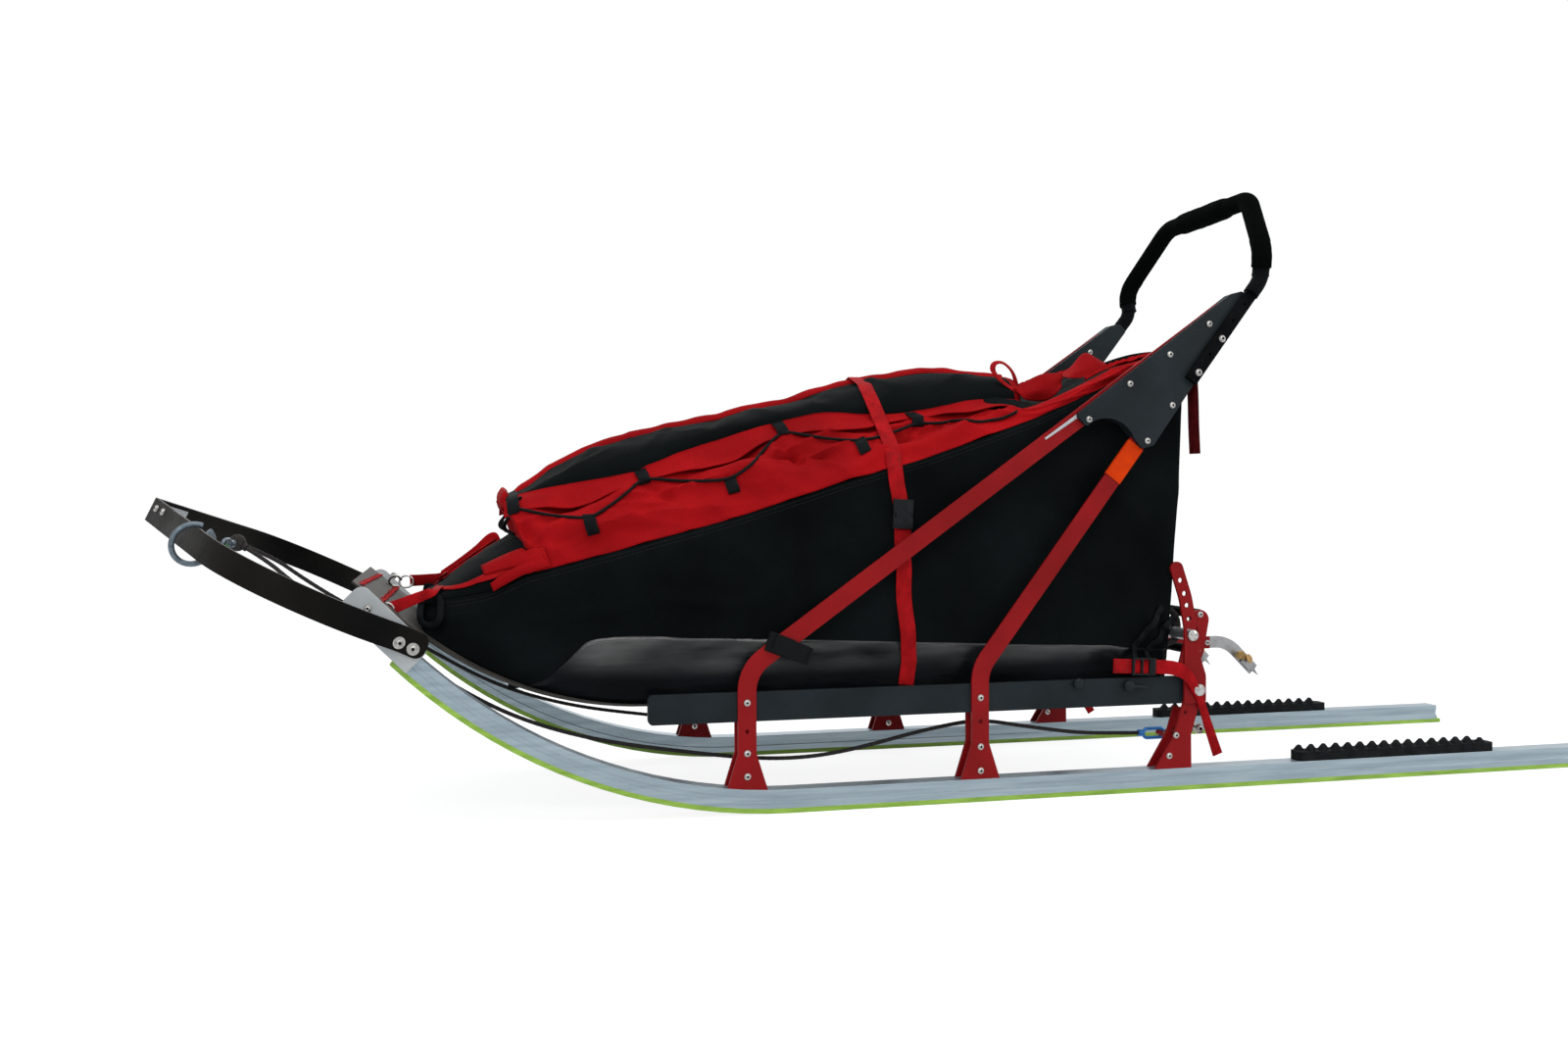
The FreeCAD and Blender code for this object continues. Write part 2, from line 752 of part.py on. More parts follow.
def tapered_web(first, last):
    """Web between two lobes, tangent to both, as thick as the arm."""
    aft_a, up_a, radius_a = first
    aft_b, up_b, radius_b = last
    a = point(aft_a, up_a)
    b = point(aft_b, up_b)
    along = b - a
    turn = math.acos((radius_a - radius_b) / along.Length)
    base = math.atan2(along.z, along.x)
    corners = []
    for centre, radius, sign in ((a, radius_a, 1), (b, radius_b, 1), (b, radius_b, -1), (a, radius_a, -1)):
        angle = base + sign * turn
        corners.append(centre + V(math.cos(angle), 0, math.sin(angle)) * radius)
    face = polygon(corners)
    face.translate(V(0, brake_arm_outer_y - brake_arm_thickness, 0))
    return face.extrude(V(0, brake_arm_thickness, 0))


def brake_arm():
    """Three-lobed plate that hangs on the hinge pin and carries both bars of the brake."""
    lobes = [(hinge_aft, hinge_up, arm_hinge_lobe), (arm_top_aft, arm_top_up, arm_top_lobe),
             (arm_claw_aft, arm_claw_up, arm_claw_lobe)]
    webs = [tapered_web(lobes[i], lobes[(i + 1) % len(lobes)]) for i in range(len(lobes))]
    centre = polygon([point(aft, up) for aft, up, radius in lobes])
    centre.translate(V(0, brake_arm_outer_y - brake_arm_thickness, 0))
    body = lobe(*lobes[0]).fuse([lobe(*item) for item in lobes[1:]] + webs
                                + [centre.extrude(V(0, brake_arm_thickness, 0))])
    bore = hinge_bore(brake_arm_outer_y - brake_arm_thickness, brake_arm_thickness)
    return body.cut(bore).removeSplitter()


def brake_lever():
    """Perforated flat bar on the arm's outer face, gently bent forward beside the bag."""
    y = brake_arm_outer_y
    low = point(lever_low_aft, lever_low_up, y)
    top = point(lever_top_aft, lever_top_up, y)
    across = (top - low).normalize().cross(V(0, 1, 0))
    bend = (low + top) * 0.5 + across * lever_bow
    route = [V(place.x, 0, place.z) for place in (low, bend, top)]
    bar = strip(route, [lever_bend_radius], lever_width, y, brake_arm_thickness)
    ends = [Part.makeCylinder(lever_width / 2, brake_arm_thickness, end, V(0, 1, 0)) for end in (low, top)]
    bar = bar.fuse(ends).removeSplitter()
    reach = (bend - low).Length + (top - bend).Length
    for share in lever_hole_shares:
        past = share * reach - (bend - low).Length
        place = bend + ((top - bend) if past > 0 else (bend - low)).normalize() * past
        bar = bar.cut(Part.makeCylinder(lever_hole_diameter / 2, brake_arm_thickness + 2 * overrun,
                                        place - V(0, overrun, 0), V(0, 1, 0)))
    return bar


def foot_bar():
    return cross_rod(foot_bar_aft, foot_bar_up, brake_arm_outer_y - brake_arm_thickness, foot_bar_diameter)


def claw_bar():
    return cross_rod(arm_claw_aft, arm_claw_up, brake_arm_outer_y - brake_arm_thickness, claw_bar_diameter)


def claw_block():
    """Clevis block clamped on the claw bar, with a slot for the claw."""
    y = claw_spacing / 2
    corner = point(arm_claw_aft + claw_block_length - claw_block_height / 2, arm_claw_up - claw_block_height / 2,
                   y - claw_block_width / 2)
    block = Part.makeBox(claw_block_length, claw_block_width, claw_block_height, corner)
    bore = cross_rod(arm_claw_aft, arm_claw_up, y + claw_block_width, claw_bar_diameter)
    slot_corner = V(corner.x - overrun, y - claw_thickness / 2, corner.z - overrun)
    slot = Part.makeBox(claw_slot_length + overrun, claw_thickness, claw_block_height + 2 * overrun, slot_corner)
    return block.cut([bore, slot])


def claw():
    """Bent steel claw with its hard tip."""
    y = claw_spacing / 2
    block_rear = arm_claw_aft + claw_block_length - claw_block_height / 2
    start = point(block_rear - claw_slot_length + seat_gap, arm_claw_up)
    bend = point(claw_bend_aft, arm_claw_up)
    end = point(claw_end_aft, claw_end_up)
    bar = strip([start, bend, end], [claw_bend_radius], claw_width, y - claw_thickness / 2, claw_thickness)
    along = (end - bend).normalize()
    tip = Part.makeCone(claw_tip_diameter / 2, 0, claw_tip_length, end + V(0, y, 0) - along * seat_gap, along)
    return bar.fuse(tip)


# Foot pads

def foot_pad():
    """Rubber pad on the runner with two staggered rows of pointed knobs."""
    front = x_at(rear_post_aft + foot_width / 2 + pad_behind_foot)
    y = runner_y - pad_width / 2
    base = Part.makeBox(pad_length, pad_width, pad_base, V(front - pad_length, y, rail_top))
    upright_edges = [edge for edge in base.Edges if edge.BoundBox.ZLength > pad_base / 2]
    base = base.makeFillet(pad_corner, upright_edges)
    pitch = (pad_length - knob_base) / (knob_columns + 1 / knob_rows)
    knobs = []
    for column in range(knob_columns):
        for row in range(knob_rows):
            x = front - knob_base - pitch * (column + row / knob_rows)
            place = V(x, y + pad_width * (row + 0.5) / knob_rows, rail_top + pad_base)
            knobs.append(knob(place))
    return base.fuse(knobs).removeSplitter()


def knob(place):
    def square(size, z):
        half = size / 2
        corners = [V(-half, -half, z), V(half, -half, z), V(half, half, z), V(-half, half, z)]
        return Part.makePolygon([place + corner for corner in corners] + [place + corners[0]])

    return Part.makeLoft([square(knob_base, 0.0), square(knob_top, knob_height)], True, True)


# Load bag

def bag_station(i):
    """Heights and half widths of the bag at one station along it."""
    share = station_shares[i]
    aft = share * bag_length - bag_front_ahead
    floor_up = bed_top_up(aft) + seat_gap
    base_up = bed_flat_up + bed_thickness
    wide = bag_half_width * width_shares[i]
    return {"aft": aft, "lean": bag_rear_setback * share, "floor": floor_up,
            "seam": base_up + seam_shares[i] * bag_height,
            "edge": base_up + lid_edge_shares[i] * bag_height,
            "ridge": base_up + ridge_shares[i] * bag_height,
            "wide": wide, "seam_y": wide * seam_pull_share, "lid_y": lid_half_width * lid_width_shares[i]}


def bag_point(station, y, up):
    climb = (up - bed_flat_up - bed_thickness) / bag_height
    return point(station["aft"] + station["lean"] * climb, up, y)


def bag_loft(outlines):
    wires = [Part.makePolygon(outline + [outline[0]]) for outline in outlines]
    return Part.makeLoft(wires, True, True)


def bag_side():
    outlines = []
    for i in range(len(station_shares)):
        s = bag_station(i)
        middle = (s["floor"] + s["seam"]) / 2
        bulged = (s["wide"] + s["seam_y"]) / 2 + bag_bulge * min(1.0, (s["seam"] - s["floor"]) / bag_height)
        outer = [bag_point(s, s["wide"], s["floor"]), bag_point(s, bulged, middle),
                 bag_point(s, s["seam_y"], s["seam"])]
        inner = [place - V(0, fabric, 0) for place in reversed(outer)]
        outlines.append(outer + inner)
    return bag_loft(outlines)


def bag_skirt():
    """Soft collar from the side seam up to the lid."""
    outlines = []
    for i in range(2, len(station_shares)):
        s = bag_station(i)
        low = s["seam"] + seat_gap
        edge_y = s["lid_y"] + seat_gap
        outlines.append([bag_point(s, s["seam_y"], low), bag_point(s, edge_y, s["edge"]),
                         bag_point(s, edge_y, s["edge"] - fabric), bag_point(s, s["seam_y"] - fabric, low)])
    return bag_loft(outlines)


def arch_line(station, y, low, high):
    """Points of an arch from one side over the top to the other."""
    count = 6
    turns = [math.pi * i / count for i in range(count + 1)]
    return [bag_point(station, y * math.cos(turn), low + (high - low) * math.sin(turn)) for turn in turns]


def arch(station, y, low, high, thickness):
    under = arch_line(station, y, low - thickness, high - thickness)
    return arch_line(station, y, low, high) + under[::-1]


def bag_lid():
    outlines = []
    for i in range(2, len(station_shares)):
        s = bag_station(i)
        outlines.append(arch(s, s["lid_y"], s["edge"], s["ridge"], fabric))
    return bag_loft(outlines)


def bag_front():
    """Closed front deck of the bag, from the nose up to the lid's front edge."""
    outlines = []
    for i in range(3):
        s = bag_station(i)
        outlines.append(arch(s, s["seam_y"], s["seam"] + fabric + seat_gap, s["ridge"] + fabric, fabric))
    deck = bag_loft(outlines)
    s = bag_station(0)
    y = s["seam_y"] - fabric - seat_gap
    top = arch_line(s, y, s["seam"] + fabric, s["ridge"] + fabric / 2)
    wall = polygon(top + [bag_point(s, -y, s["floor"]), bag_point(s, y, s["floor"])])
    return deck.fuse(wall.extrude(V(-fabric, 0, 0)))


def bag_rear():
    s = bag_station(len(station_shares) - 1)
    corners = [bag_point(s, -s["wide"], s["floor"]), bag_point(s, s["wide"], s["floor"]),
               bag_point(s, s["seam_y"], s["seam"]), bag_point(s, s["lid_y"], s["edge"]),
               bag_point(s, -s["lid_y"], s["edge"]), bag_point(s, -s["seam_y"], s["seam"])]
    panel = polygon(corners).extrude(V(-fabric, 0, 0))
    panel.translate(V(-seat_gap, 0, 0))
    return panel


# Tow hardware

def tow_ring_frame():
    """Centre of the ring and the band's run there, both in the bow's sloping plane."""
    tip = bow_level(bow_tip_run(), 0.0)
    along = (bow_belly() - tip).normalize()
    play = ring_inner / 2 - math.hypot(bow_height, bow_thickness) / 2 - seat_gap
    centre = tip + along * ring_setback - V(0, 0, play)
    turn = FreeCAD.Rotation(V(0, 1, 0), -bow_slope)
    origin = point(bow_rear_aft, bow_rear_up)
    return origin + turn.multVec(centre - origin), turn.multVec(along), turn.multVec(V(0, 0, 1))


def tow_ring():
    """Open ring that hangs on the left band of the bow, across the band."""
    centre, along, above = tow_ring_frame()
    ring = Part.makeTorus((ring_inner + ring_wire) / 2, ring_wire / 2, V(0, 0, 0), V(0, 0, 1), 0, 360,
                          360 - ring_opening_angle)
    ring.Placement = FreeCAD.Placement(centre, FreeCAD.Rotation(above, along.cross(above), along, "ZXY"))
    return ring


def tow_chain():
    """Axis of the loop, shackle and swivel: start in the ring's wire, direction, and two normals."""
    centre, along, above = tow_ring_frame()
    inward = above.cross(along).normalize()
    rise = math.radians(tow_rise_angle)
    swing = math.radians(tow_swing_angle)
    radial = inward * math.cos(rise) + above * math.sin(rise)
    start = centre + radial * ((ring_inner + ring_wire) / 2)
    direction = radial * math.cos(swing) - along * math.sin(swing)
    wire = above * math.cos(rise) - inward * math.sin(rise)
    return start, direction, wire, direction.cross(wire)


def closed_link(first, last, normal, bend, wire):
    """Round wire bent to a long ring about two centres."""
    along = (last - first).normalize()
    side = normal.cross(along) * bend
    runs = [Part.LineSegment(first + side, last + side).toShape(),
            Part.Arc(last + side, last + along * bend, last - side).toShape(),
            Part.LineSegment(last - side, first - side).toShape(),
            Part.Arc(first - side, first - along * bend, first + side).toShape()]
    ring = Part.Wire(Part.makeCircle(wire / 2, first + side, along))
    return Part.Wire(runs).makePipeShell([ring], True, False)


def tow_loop():
    """Cord loop between the ring and the shackle."""
    start, direction, wire, side = tow_chain()
    first = start - direction * (loop_bend - (loop_wire + ring_wire) / 2 - seat_gap)
    return closed_link(start + (start - first), start + direction * loop_length, wire, loop_bend, loop_wire)


def shackle_frame():
    """Centre of the shackle's front bend, and the plane where the swivel ends."""
    start, direction, wire, side = tow_chain()
    seat = loop_bend - (loop_wire + shackle_wire) / 2 - seat_gap
    front = start + direction * (loop_length + seat + shackle_bend)
    swivel_start = front + direction * (shackle_length + shackle_bend)
    return front, swivel_start, swivel_start + direction * swivel_length


def tow_shackle():
    start, direction, wire, side = tow_chain()
    front, swivel_start, swivel_end = shackle_frame()
    ring = closed_link(front, front + direction * shackle_length, side, shackle_bend, shackle_wire)
    return ring.fuse(rod(swivel_start, swivel_end, swivel_diameter))


def knot_centre():
    start, direction, wire, side = tow_chain()
    swivel_end = shackle_frame()[2]
    return swivel_end + direction * (knot_diameter / 2)


def bridle_knot():
    """Knot that both bridle ropes come out of."""
    start, direction, wire, side = tow_chain()
    centre = knot_centre()
    ball = Part.makeSphere(knot_diameter / 2, centre)
    necks = []
    for sign in (1, -1):
        route = bridle_points(sign)
        necks.append(rod(centre, route[-1], knot_neck_diameter))
    swivel_end = shackle_frame()[2]
    flat = Part.makeCylinder(knot_diameter, knot_diameter, swivel_end + direction * seat_gap, direction * -1)
    return ball.fuse(necks).cut(flat).removeSplitter()


def bridle_points(sign):
    """Hand-placed route of one bridle rope from its rear link to the knot at the bow."""
    route = [(715, 205, 53), (658, 204, 55), (603, 203, 58), (548, 203, 66), (493, 202, 75),
             (440, 202, 85), (400, 202, 87), (345, 201, 79), (292, 201, 69), (238, 200, 57),
             (182, 200, 46), (125, 200, 39), (66, 199, 38), (5, 198, 43), (-55, 196, 51),
             (-112, 193, 60), (-168, 189, 69), (-224, 184, 80), (-278, 179, 94), (-330, 173, 111),
             (-380, 165, 132), (-428, 156, 158), (-474, 145, 187), (-520, 132, 217), (-567, 118, 248),
             (-615, 103, 279), (-662, 85, 311), (-703, 66, 343), (-737, 47, 373)]
    centre = knot_centre()
    start_y = route[0][1]
    places = []
    for aft, y, up in route:
        pull = (start_y - y) / start_y
        places.append(point(aft, up, sign * y + pull * centre.y))
    toward = (centre - places[-1]).normalize()
    return places + [centre - toward * knot_neck]


def bridle_link():
    """Quick link that joins the rope's sleeve to a stud on the rear foot plate."""
    route = bridle_points(1)
    y = route[0].y
    rear = point(link_aft, link_up, y)
    front = rear + V(link_length, 0, 0)
    ring = closed_link(front, rear, V(0, 1, 0), link_bend, link_wire)
    along = (route[1] - route[0]).normalize()
    reach = (route[0] - front).Length - link_bend
    return ring.fuse(rod(route[0] - along * reach, route[0], link_sleeve_diameter))


def link_stud():
    """Stud on the rear inner foot plate that the bridle's link pulls against."""
    y = bridle_points(1)[0].y - link_wire
    seat = link_bend - (link_wire + link_stud_diameter) / 2 - seat_gap
    start = point(link_aft + seat, link_up, y)
    return rod(start, V(start.x, inner_plate_y - plate_thickness, start.z), link_stud_diameter)


def bend_radii(route):
    radii = []
    for before, corner, after in zip(route, route[1:], route[2:]):
        turn = (corner - before).getAngle(after - corner)
        shorter = min((corner - before).Length, (after - corner).Length)
        radii.append(0.45 * shorter / math.tan(turn / 2))
    return radii


def bridle(sign):
    route = bridle_points(sign)
    radii = bend_radii(route)
    rope = tube(route, radii, rope_diameter)
    section = math.pi * rope_diameter ** 2 / 4
    print("bridle least bend %.0f, length by volume %.1f, by its path %.1f" % (
        min(radii), rope.Volume / section, sum(edge.Length for edge in rounded_edges(route, radii))))
    return rope


def main():
    save_pair(runner_rail(), "runner_rail")
    save_pair(runner_base(), "runner_base")
    save_pair(stay_post(0.0, front_bend_up, front_stay_slope, front_stay_reach), "front_post")
    save_pair(stay_post(middle_post_aft, middle_bend_up, middle_stay_slope, middle_stay_reach), "middle_post")
    save_pair(rear_post(), "rear_post")
    save_both(inner_plates(), "inner_foot_plates")
    save_both(foot_spacers(), "foot_spacers")
    save_pair(side_rail(), "side_rail")
    save(bed_sheet(), "bed_sheet")
    save(cross_tubes(), "cross_tubes")
    save(nose_tube(), "nose_tube")
    save_pair(nose_plate(), "nose_plate")
    save_pair(bow_band(), "bow_band")
    save(joint_plate(), "bow_joint_plate")
    save_pair(gusset(), "gusset")
    save(handlebar(), "handlebar")
    save(hand_grip(), "hand_grip")
    save_pair(rear_upright(), "rear_upright")
    save(rear_cross_tube(), "rear_cross_tube")
    save_both(hinge_pin(), "hinge_pins")
    save_pair(brake_arm(), "brake_arm")
    save_pair(brake_lever(), "brake_lever")
    save(foot_bar(), "brake_foot_bar")
    save(claw_bar(), "brake_claw_bar")
    save_both(claw_block(), "claw_blocks")
    save_both(claw(), "claws")
    save_pair(foot_pad(), "foot_pad")
    save_pair(bag_side(), "bag_side")
    save_pair(bag_skirt(), "bag_skirt")
    save(bag_lid(), "bag_lid")
    save(bag_front(), "bag_front")
    save(bag_rear(), "bag_rear")
    save(tow_ring(), "tow_ring")
    save(tow_loop(), "tow_loop")
    save(tow_shackle(), "tow_shackle")
    save(bridle_knot(), "bridle_knot")
    save(bridle(1), "bridle_left")
    save(bridle(-1), "bridle_right")
    save_pair(bridle_link(), "bridle_link")


main()
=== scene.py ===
import math

import bmesh
import bpy
from mathutils import Matrix, Vector, noise
from mathutils.bvhtree import BVHTree


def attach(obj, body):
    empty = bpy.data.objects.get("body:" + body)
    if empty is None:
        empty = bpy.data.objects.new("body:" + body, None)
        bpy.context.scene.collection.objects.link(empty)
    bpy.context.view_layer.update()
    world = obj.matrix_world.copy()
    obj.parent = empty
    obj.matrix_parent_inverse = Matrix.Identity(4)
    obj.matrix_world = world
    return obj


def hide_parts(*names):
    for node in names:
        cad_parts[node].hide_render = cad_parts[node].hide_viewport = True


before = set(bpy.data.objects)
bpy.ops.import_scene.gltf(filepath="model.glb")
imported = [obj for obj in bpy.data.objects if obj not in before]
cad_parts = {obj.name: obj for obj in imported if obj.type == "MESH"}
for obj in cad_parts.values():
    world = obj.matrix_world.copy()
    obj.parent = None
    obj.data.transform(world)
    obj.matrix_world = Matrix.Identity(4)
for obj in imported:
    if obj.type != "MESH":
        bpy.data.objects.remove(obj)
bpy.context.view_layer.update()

# Studio
# A dog sled stands on a pale floor in soft even light.
# The camera looks at its left side from a little over the load's height.

def placed(name, data):
    """A new object in the scene."""
    made = bpy.data.objects.new(name, data)
    bpy.context.scene.collection.objects.link(made)
    return made


camera = placed("camera", bpy.data.cameras.new("camera"))
camera.data.sensor_width = 36.0
camera.data.lens = 31.5
camera.data.clip_start = 0.05
view_right, view_up, view_back = ((-0.972591, 0.232491, -0.003839), (-0.007832, -0.016252, 0.999837),
                                  (0.232391, 0.972463, 0.017627))
view_turn = Matrix((view_right, view_up, view_back)).transposed().to_4x4()
camera.matrix_world = Matrix.Translation(Vector((0.8226, 2.4023, 0.5067))) @ view_turn
bpy.context.scene.camera = camera
bpy.context.scene.view_settings.view_transform = "Standard"

for name, place, target, size, watts in (("overhead_lamp", (0.4, 1.0, 3.6), (0.0, 0.0, 0.3), 3.0, 62.0),
                                         ("front_lamp", (2.4, 3.2, 2.2), (0.1, 0.0, 0.4), 1.8, 34.0),
                                         ("rear_lamp", (-2.8, 1.8, 1.8), (-0.3, 0.0, 0.4), 1.6, 22.0),
                                         ("far_lamp", (0.3, -3.0, 2.4), (0.0, 0.0, 0.4), 2.2, 30.0)):
    lamp = placed(name, bpy.data.lights.new(name, "AREA"))
    lamp.data.energy = watts
    lamp.data.size = size
    lamp.location = place
    lamp.rotation_euler = (Vector(target) - Vector(place)).to_track_quat("-Z", "Y").to_euler()


def node(owner, kind, **values):
    """A shader node; names that start with in_ set its sockets, or link them where the value is an output."""
    made = owner.node_tree.nodes.new("ShaderNode" + kind)
    for name, value in values.items():
        if not name.startswith("in_"):
            setattr(made, name, value)
            continue
        key = name[3:].replace("_", " ")
        socket = made.inputs[int(key) if key.isdigit() else key]
        if isinstance(value, bpy.types.NodeSocket):
            owner.node_tree.links.new(value, socket)
        else:
            socket.default_value = value
    return made


def product(owner, first, second):
    """Multiplies two values of a material."""
    return node(owner, "Math", operation="MULTIPLY", in_0=first, in_1=second).outputs[0]


def whitened(owner, shade, kind, strength, share, end):
    """Shows white to the camera, mirrors and glass, while what falls on the sled keeps to the shade."""
    path = node(owner, "LightPath").outputs
    mirrored = node(owner, "Math", in_0=path["Is Glossy Ray"], in_1=path["Is Transmission Ray"])
    seen = node(owner, "Math", use_clamp=True, in_0=path["Is Camera Ray"], in_1=mirrored.outputs[0])
    white = node(owner, kind, in_Color=(1.0, 1.0, 1.0, 1.0), in_Strength=strength)
    mix = node(owner, "MixShader", in_0=product(owner, seen.outputs[0], share), in_1=shade.outputs[0],
               in_2=white.outputs[0])
    owner.node_tree.links.new(mix.outputs[0], owner.node_tree.nodes[end].inputs["Surface"])


world = bpy.data.worlds.new("studio")
bpy.context.scene.world = world
world.use_nodes = True
sky = world.node_tree.nodes["Background"]
sky.inputs["Color"].default_value = (0.86, 0.93, 1.0, 1.0)
sky.inputs["Strength"].default_value = 0.56
whitened(world, sky, "Background", 1.0, 1.0, "World Output")
floor_mesh = bpy.data.meshes.new("floor")
floor_mesh.from_pydata([(-30, -30, 0), (30, -30, 0), (30, 30, 0), (-30, 30, 0)], [], [(0, 1, 2, 3)])
floor = placed("floor", floor_mesh)
floor_gap = 0.0004
floor.location.z = -floor_gap
pale_floor = bpy.data.materials.new("pale_floor")
pale_floor.use_nodes = True
floor_shade = pale_floor.node_tree.nodes["Principled BSDF"]
floor_shade.inputs["Base Color"].default_value = (0.88, 0.88, 0.88, 1.0)
floor_shade.inputs["Roughness"].default_value = 0.95
whitened(pale_floor, floor_shade, "Emission", 1.22, 0.72, "Material Output")
floor_mesh.materials.append(pale_floor)

# Bridle ropes
# Two braided ropes run from links at the rear posts to a knot behind the bow.
# Each hangs in a long bow under the bed, and the pull of the team goes through them.

def shader_socket(material, name):
    """One of the shader's own sockets."""
    return material.node_tree.nodes["Principled BSDF"].inputs[name]


def into_shader(material, output, name):
    """Links a value to the shader."""
    material.node_tree.links.new(output, shader_socket(material, name))


def ramped(material, value, low, high, first=0.0, last=1.0, kind="LINEAR"):
    """Spreads a value between two bounds over two others."""
    return node(material, "MapRange", interpolation_type=kind, in_Value=value, in_From_Min=low, in_From_Max=high,
                in_To_Min=first, in_To_Max=last).outputs["Result"]


def place_on(material, stretch=(1.0, 1.0, 1.0)):
    """Place on the piece itself in metres, stretched along its axes."""
    where = node(material, "TexCoord").outputs["Object"]
    return node(material, "Mapping", in_Scale=stretch, in_Vector=where).outputs["Vector"]


def cloud(material, scale, detail, stretch=(1.0, 1.0, 1.0), low=0.35, high=0.65):
    """Soft noise from 0 to 1."""
    texture = node(material, "TexNoise", in_Scale=scale, in_Detail=detail, in_Vector=place_on(material, stretch))
    return ramped(material, texture.outputs["Fac"], low, high)


def blended(material, share, first, second):
    """Blends two colours by a share for the shader's colour."""
    mix = node(material, "Mix", data_type="RGBA", in_0=share, in_6=first, in_7=second)
    into_shader(material, mix.outputs[2], "Base Color")


def raised(material, height, strength, depth):
    """Adds a bump on top of the bumps the material has already."""
    bump = node(material, "Bump", in_Strength=strength, in_Distance=depth, in_Height=height)
    before = shader_socket(material, "Normal").links
    if before:
        material.node_tree.links.new(before[0].from_socket, bump.inputs["Normal"])
    into_shader(material, bump.outputs["Normal"], "Normal")


def bumpy(material, strength, depth, *grain):
    """A fine uneven surface."""
    raised(material, cloud(material, *grain), strength, depth)


def polished(material, low, high, *grain):
    """Roughness that drifts between two values."""
    into_shader(material, ramped(material, cloud(material, *grain), 0.0, 1.0, low, high), "Roughness")


layer_makers = {"bump": bumpy, "polish": polished}


def finish(name, dark, pale, grain, roughness, metallic=0.0, specular=0.5, **layers):
    """A material that drifts between two tones in its grain, with the named layers laid on in turn."""
    material = bpy.data.materials.new(name)
    material.use_nodes = True
    for socket, value in (("Base Color", (*dark, 1.0)), ("Roughness", roughness), ("Metallic", metallic),
                          ("Specular IOR Level", specular)):
        shader_socket(material, socket).default_value = value
    blended(material, cloud(material, *grain), (*dark, 1.0), (*pale, 1.0))
    for layer, values in layers.items():
        layer_makers[layer](material, *values)
    return material


def ring_faces(rows, count, capped=True):
    """Faces between rings of corners, with the two ends closed."""
    faces = []
    for i in range(rows - 1):
        for k in range(count):
            m = (k + 1) % count
            faces.append((i * count + k, i * count + m, (i + 1) * count + m, (i + 1) * count + k))
    if capped:
        faces += [tuple(reversed(range(count))), tuple(range((rows - 1) * count, rows * count))]
    return faces


def heading(line, i):
    """The way a line runs at one of its points."""
    return line[min(i + 1, len(line) - 1)] - line[max(i - 1, 0)]


def swept(line, section, closed=False):
    """Skin round a line with no twist; the section is a row of points, or gives one for each step."""
    verts = []
    side = None
    for i, place in enumerate(line):
        ahead = heading(line, i).normalized()
        if side is None:
            side = ahead.orthogonal().normalized()
        side = (side - ahead * side.dot(ahead)).normalized()
        outline = section(i) if callable(section) else section
        verts += [place + side * a + ahead.cross(side) * b for a, b in outline]
    return verts, ring_faces(len(line), len(outline), not closed)


sharp_bend = math.radians(38)


def piece(name, parts, material, body="sled", smooth=True):
    """One object from lists of corners and faces, shaded smooth where it bends gently."""
    verts, faces, kinds = [], [], []
    for part in parts:
        shift = len(verts)
        verts += part[0]
        faces += [tuple(i + shift for i in face) for face in part[1]]
        kinds += part[2] if len(part) > 2 else [0] * len(part[1])
    mesh = bpy.data.meshes.new(name)
    mesh.from_pydata([tuple(v) for v in verts], [], faces)
    for one in (material if isinstance(material, list) else [material]):
        mesh.materials.append(one)
    mesh.polygons.foreach_set("material_index", kinds)
    mesh.polygons.foreach_set("use_smooth", [smooth] * len(faces))
    shape = bmesh.new()
    shape.from_mesh(mesh)
    bmesh.ops.recalc_face_normals(shape, faces=shape.faces)
    shape.to_mesh(mesh)
    shape.free()
    if smooth:
        mesh.set_sharp_from_angle(angle=sharp_bend)
    made = placed(name, mesh)
    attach(made, body)
    return made


def rope_line(name, points):
    """The rope's smooth middle line, read from a curve that the points pull on."""
    curve = bpy.data.curves.new(name, "CURVE")
    curve.dimensions = "3D"
    curve.resolution_u = 24
    spline = curve.splines.new("NURBS")
    spline.points.add(len(points) - 1)
    for point, place in zip(spline.points, points):
        point.co = (*place, 1.0)
    spline.order_u = 3
    spline.use_endpoint_u = True
    holder = placed(name, curve)
    bpy.context.view_layer.update()
    line = bpy.data.meshes.new_from_object(holder.evaluated_get(bpy.context.evaluated_depsgraph_get()))
    places = [v.co.copy() for v in line.vertices]
    bpy.data.objects.remove(holder)
    bpy.data.meshes.remove(line)
    return places


def evenly(points, step):
    """The same line with points a step apart."""
    lengths = [0.0]
    for a, b in zip(points, points[1:]):
        lengths.append(lengths[-1] + (b - a).length)
    count = max(2, round(lengths[-1] / step) + 1)
    made, k = [], 0
    for i in range(count):
        goal = lengths[-1] * i / (count - 1)
        while k < len(points) - 2 and lengths[k + 1] < goal:
            k += 1
        share = (goal - lengths[k]) / max(lengths[k + 1] - lengths[k], 1e-9)
        made.append(points[k].lerp(points[k + 1], share))
    return made


rope_thick = 0.007
rope_strands = 6
strand_pitch = 0.022
rope_step = 0.0022


def braid_section(i):
    """Plump strands that cross each other round the rope."""
    along = i * rope_step / strand_pitch * 2 * math.pi
    ring = []
    for k in range(16):
        angle = 2 * math.pi * k / 16
        twill = math.cos(rope_strands * angle + along) * math.cos(rope_strands * angle - along)
        radius = rope_thick / 2 * (0.955 + 0.045 * twill)
        ring.append((radius * math.cos(angle), radius * math.sin(angle)))
    return ring


rope_finish = finish("braided_rope", (0.009, 0.009, 0.010), (0.040, 0.033, 0.030), (900.0, 2.0), 0.82, specular=0.2,
                     bump=(0.5, 0.0004, 2600.0, 2.0))
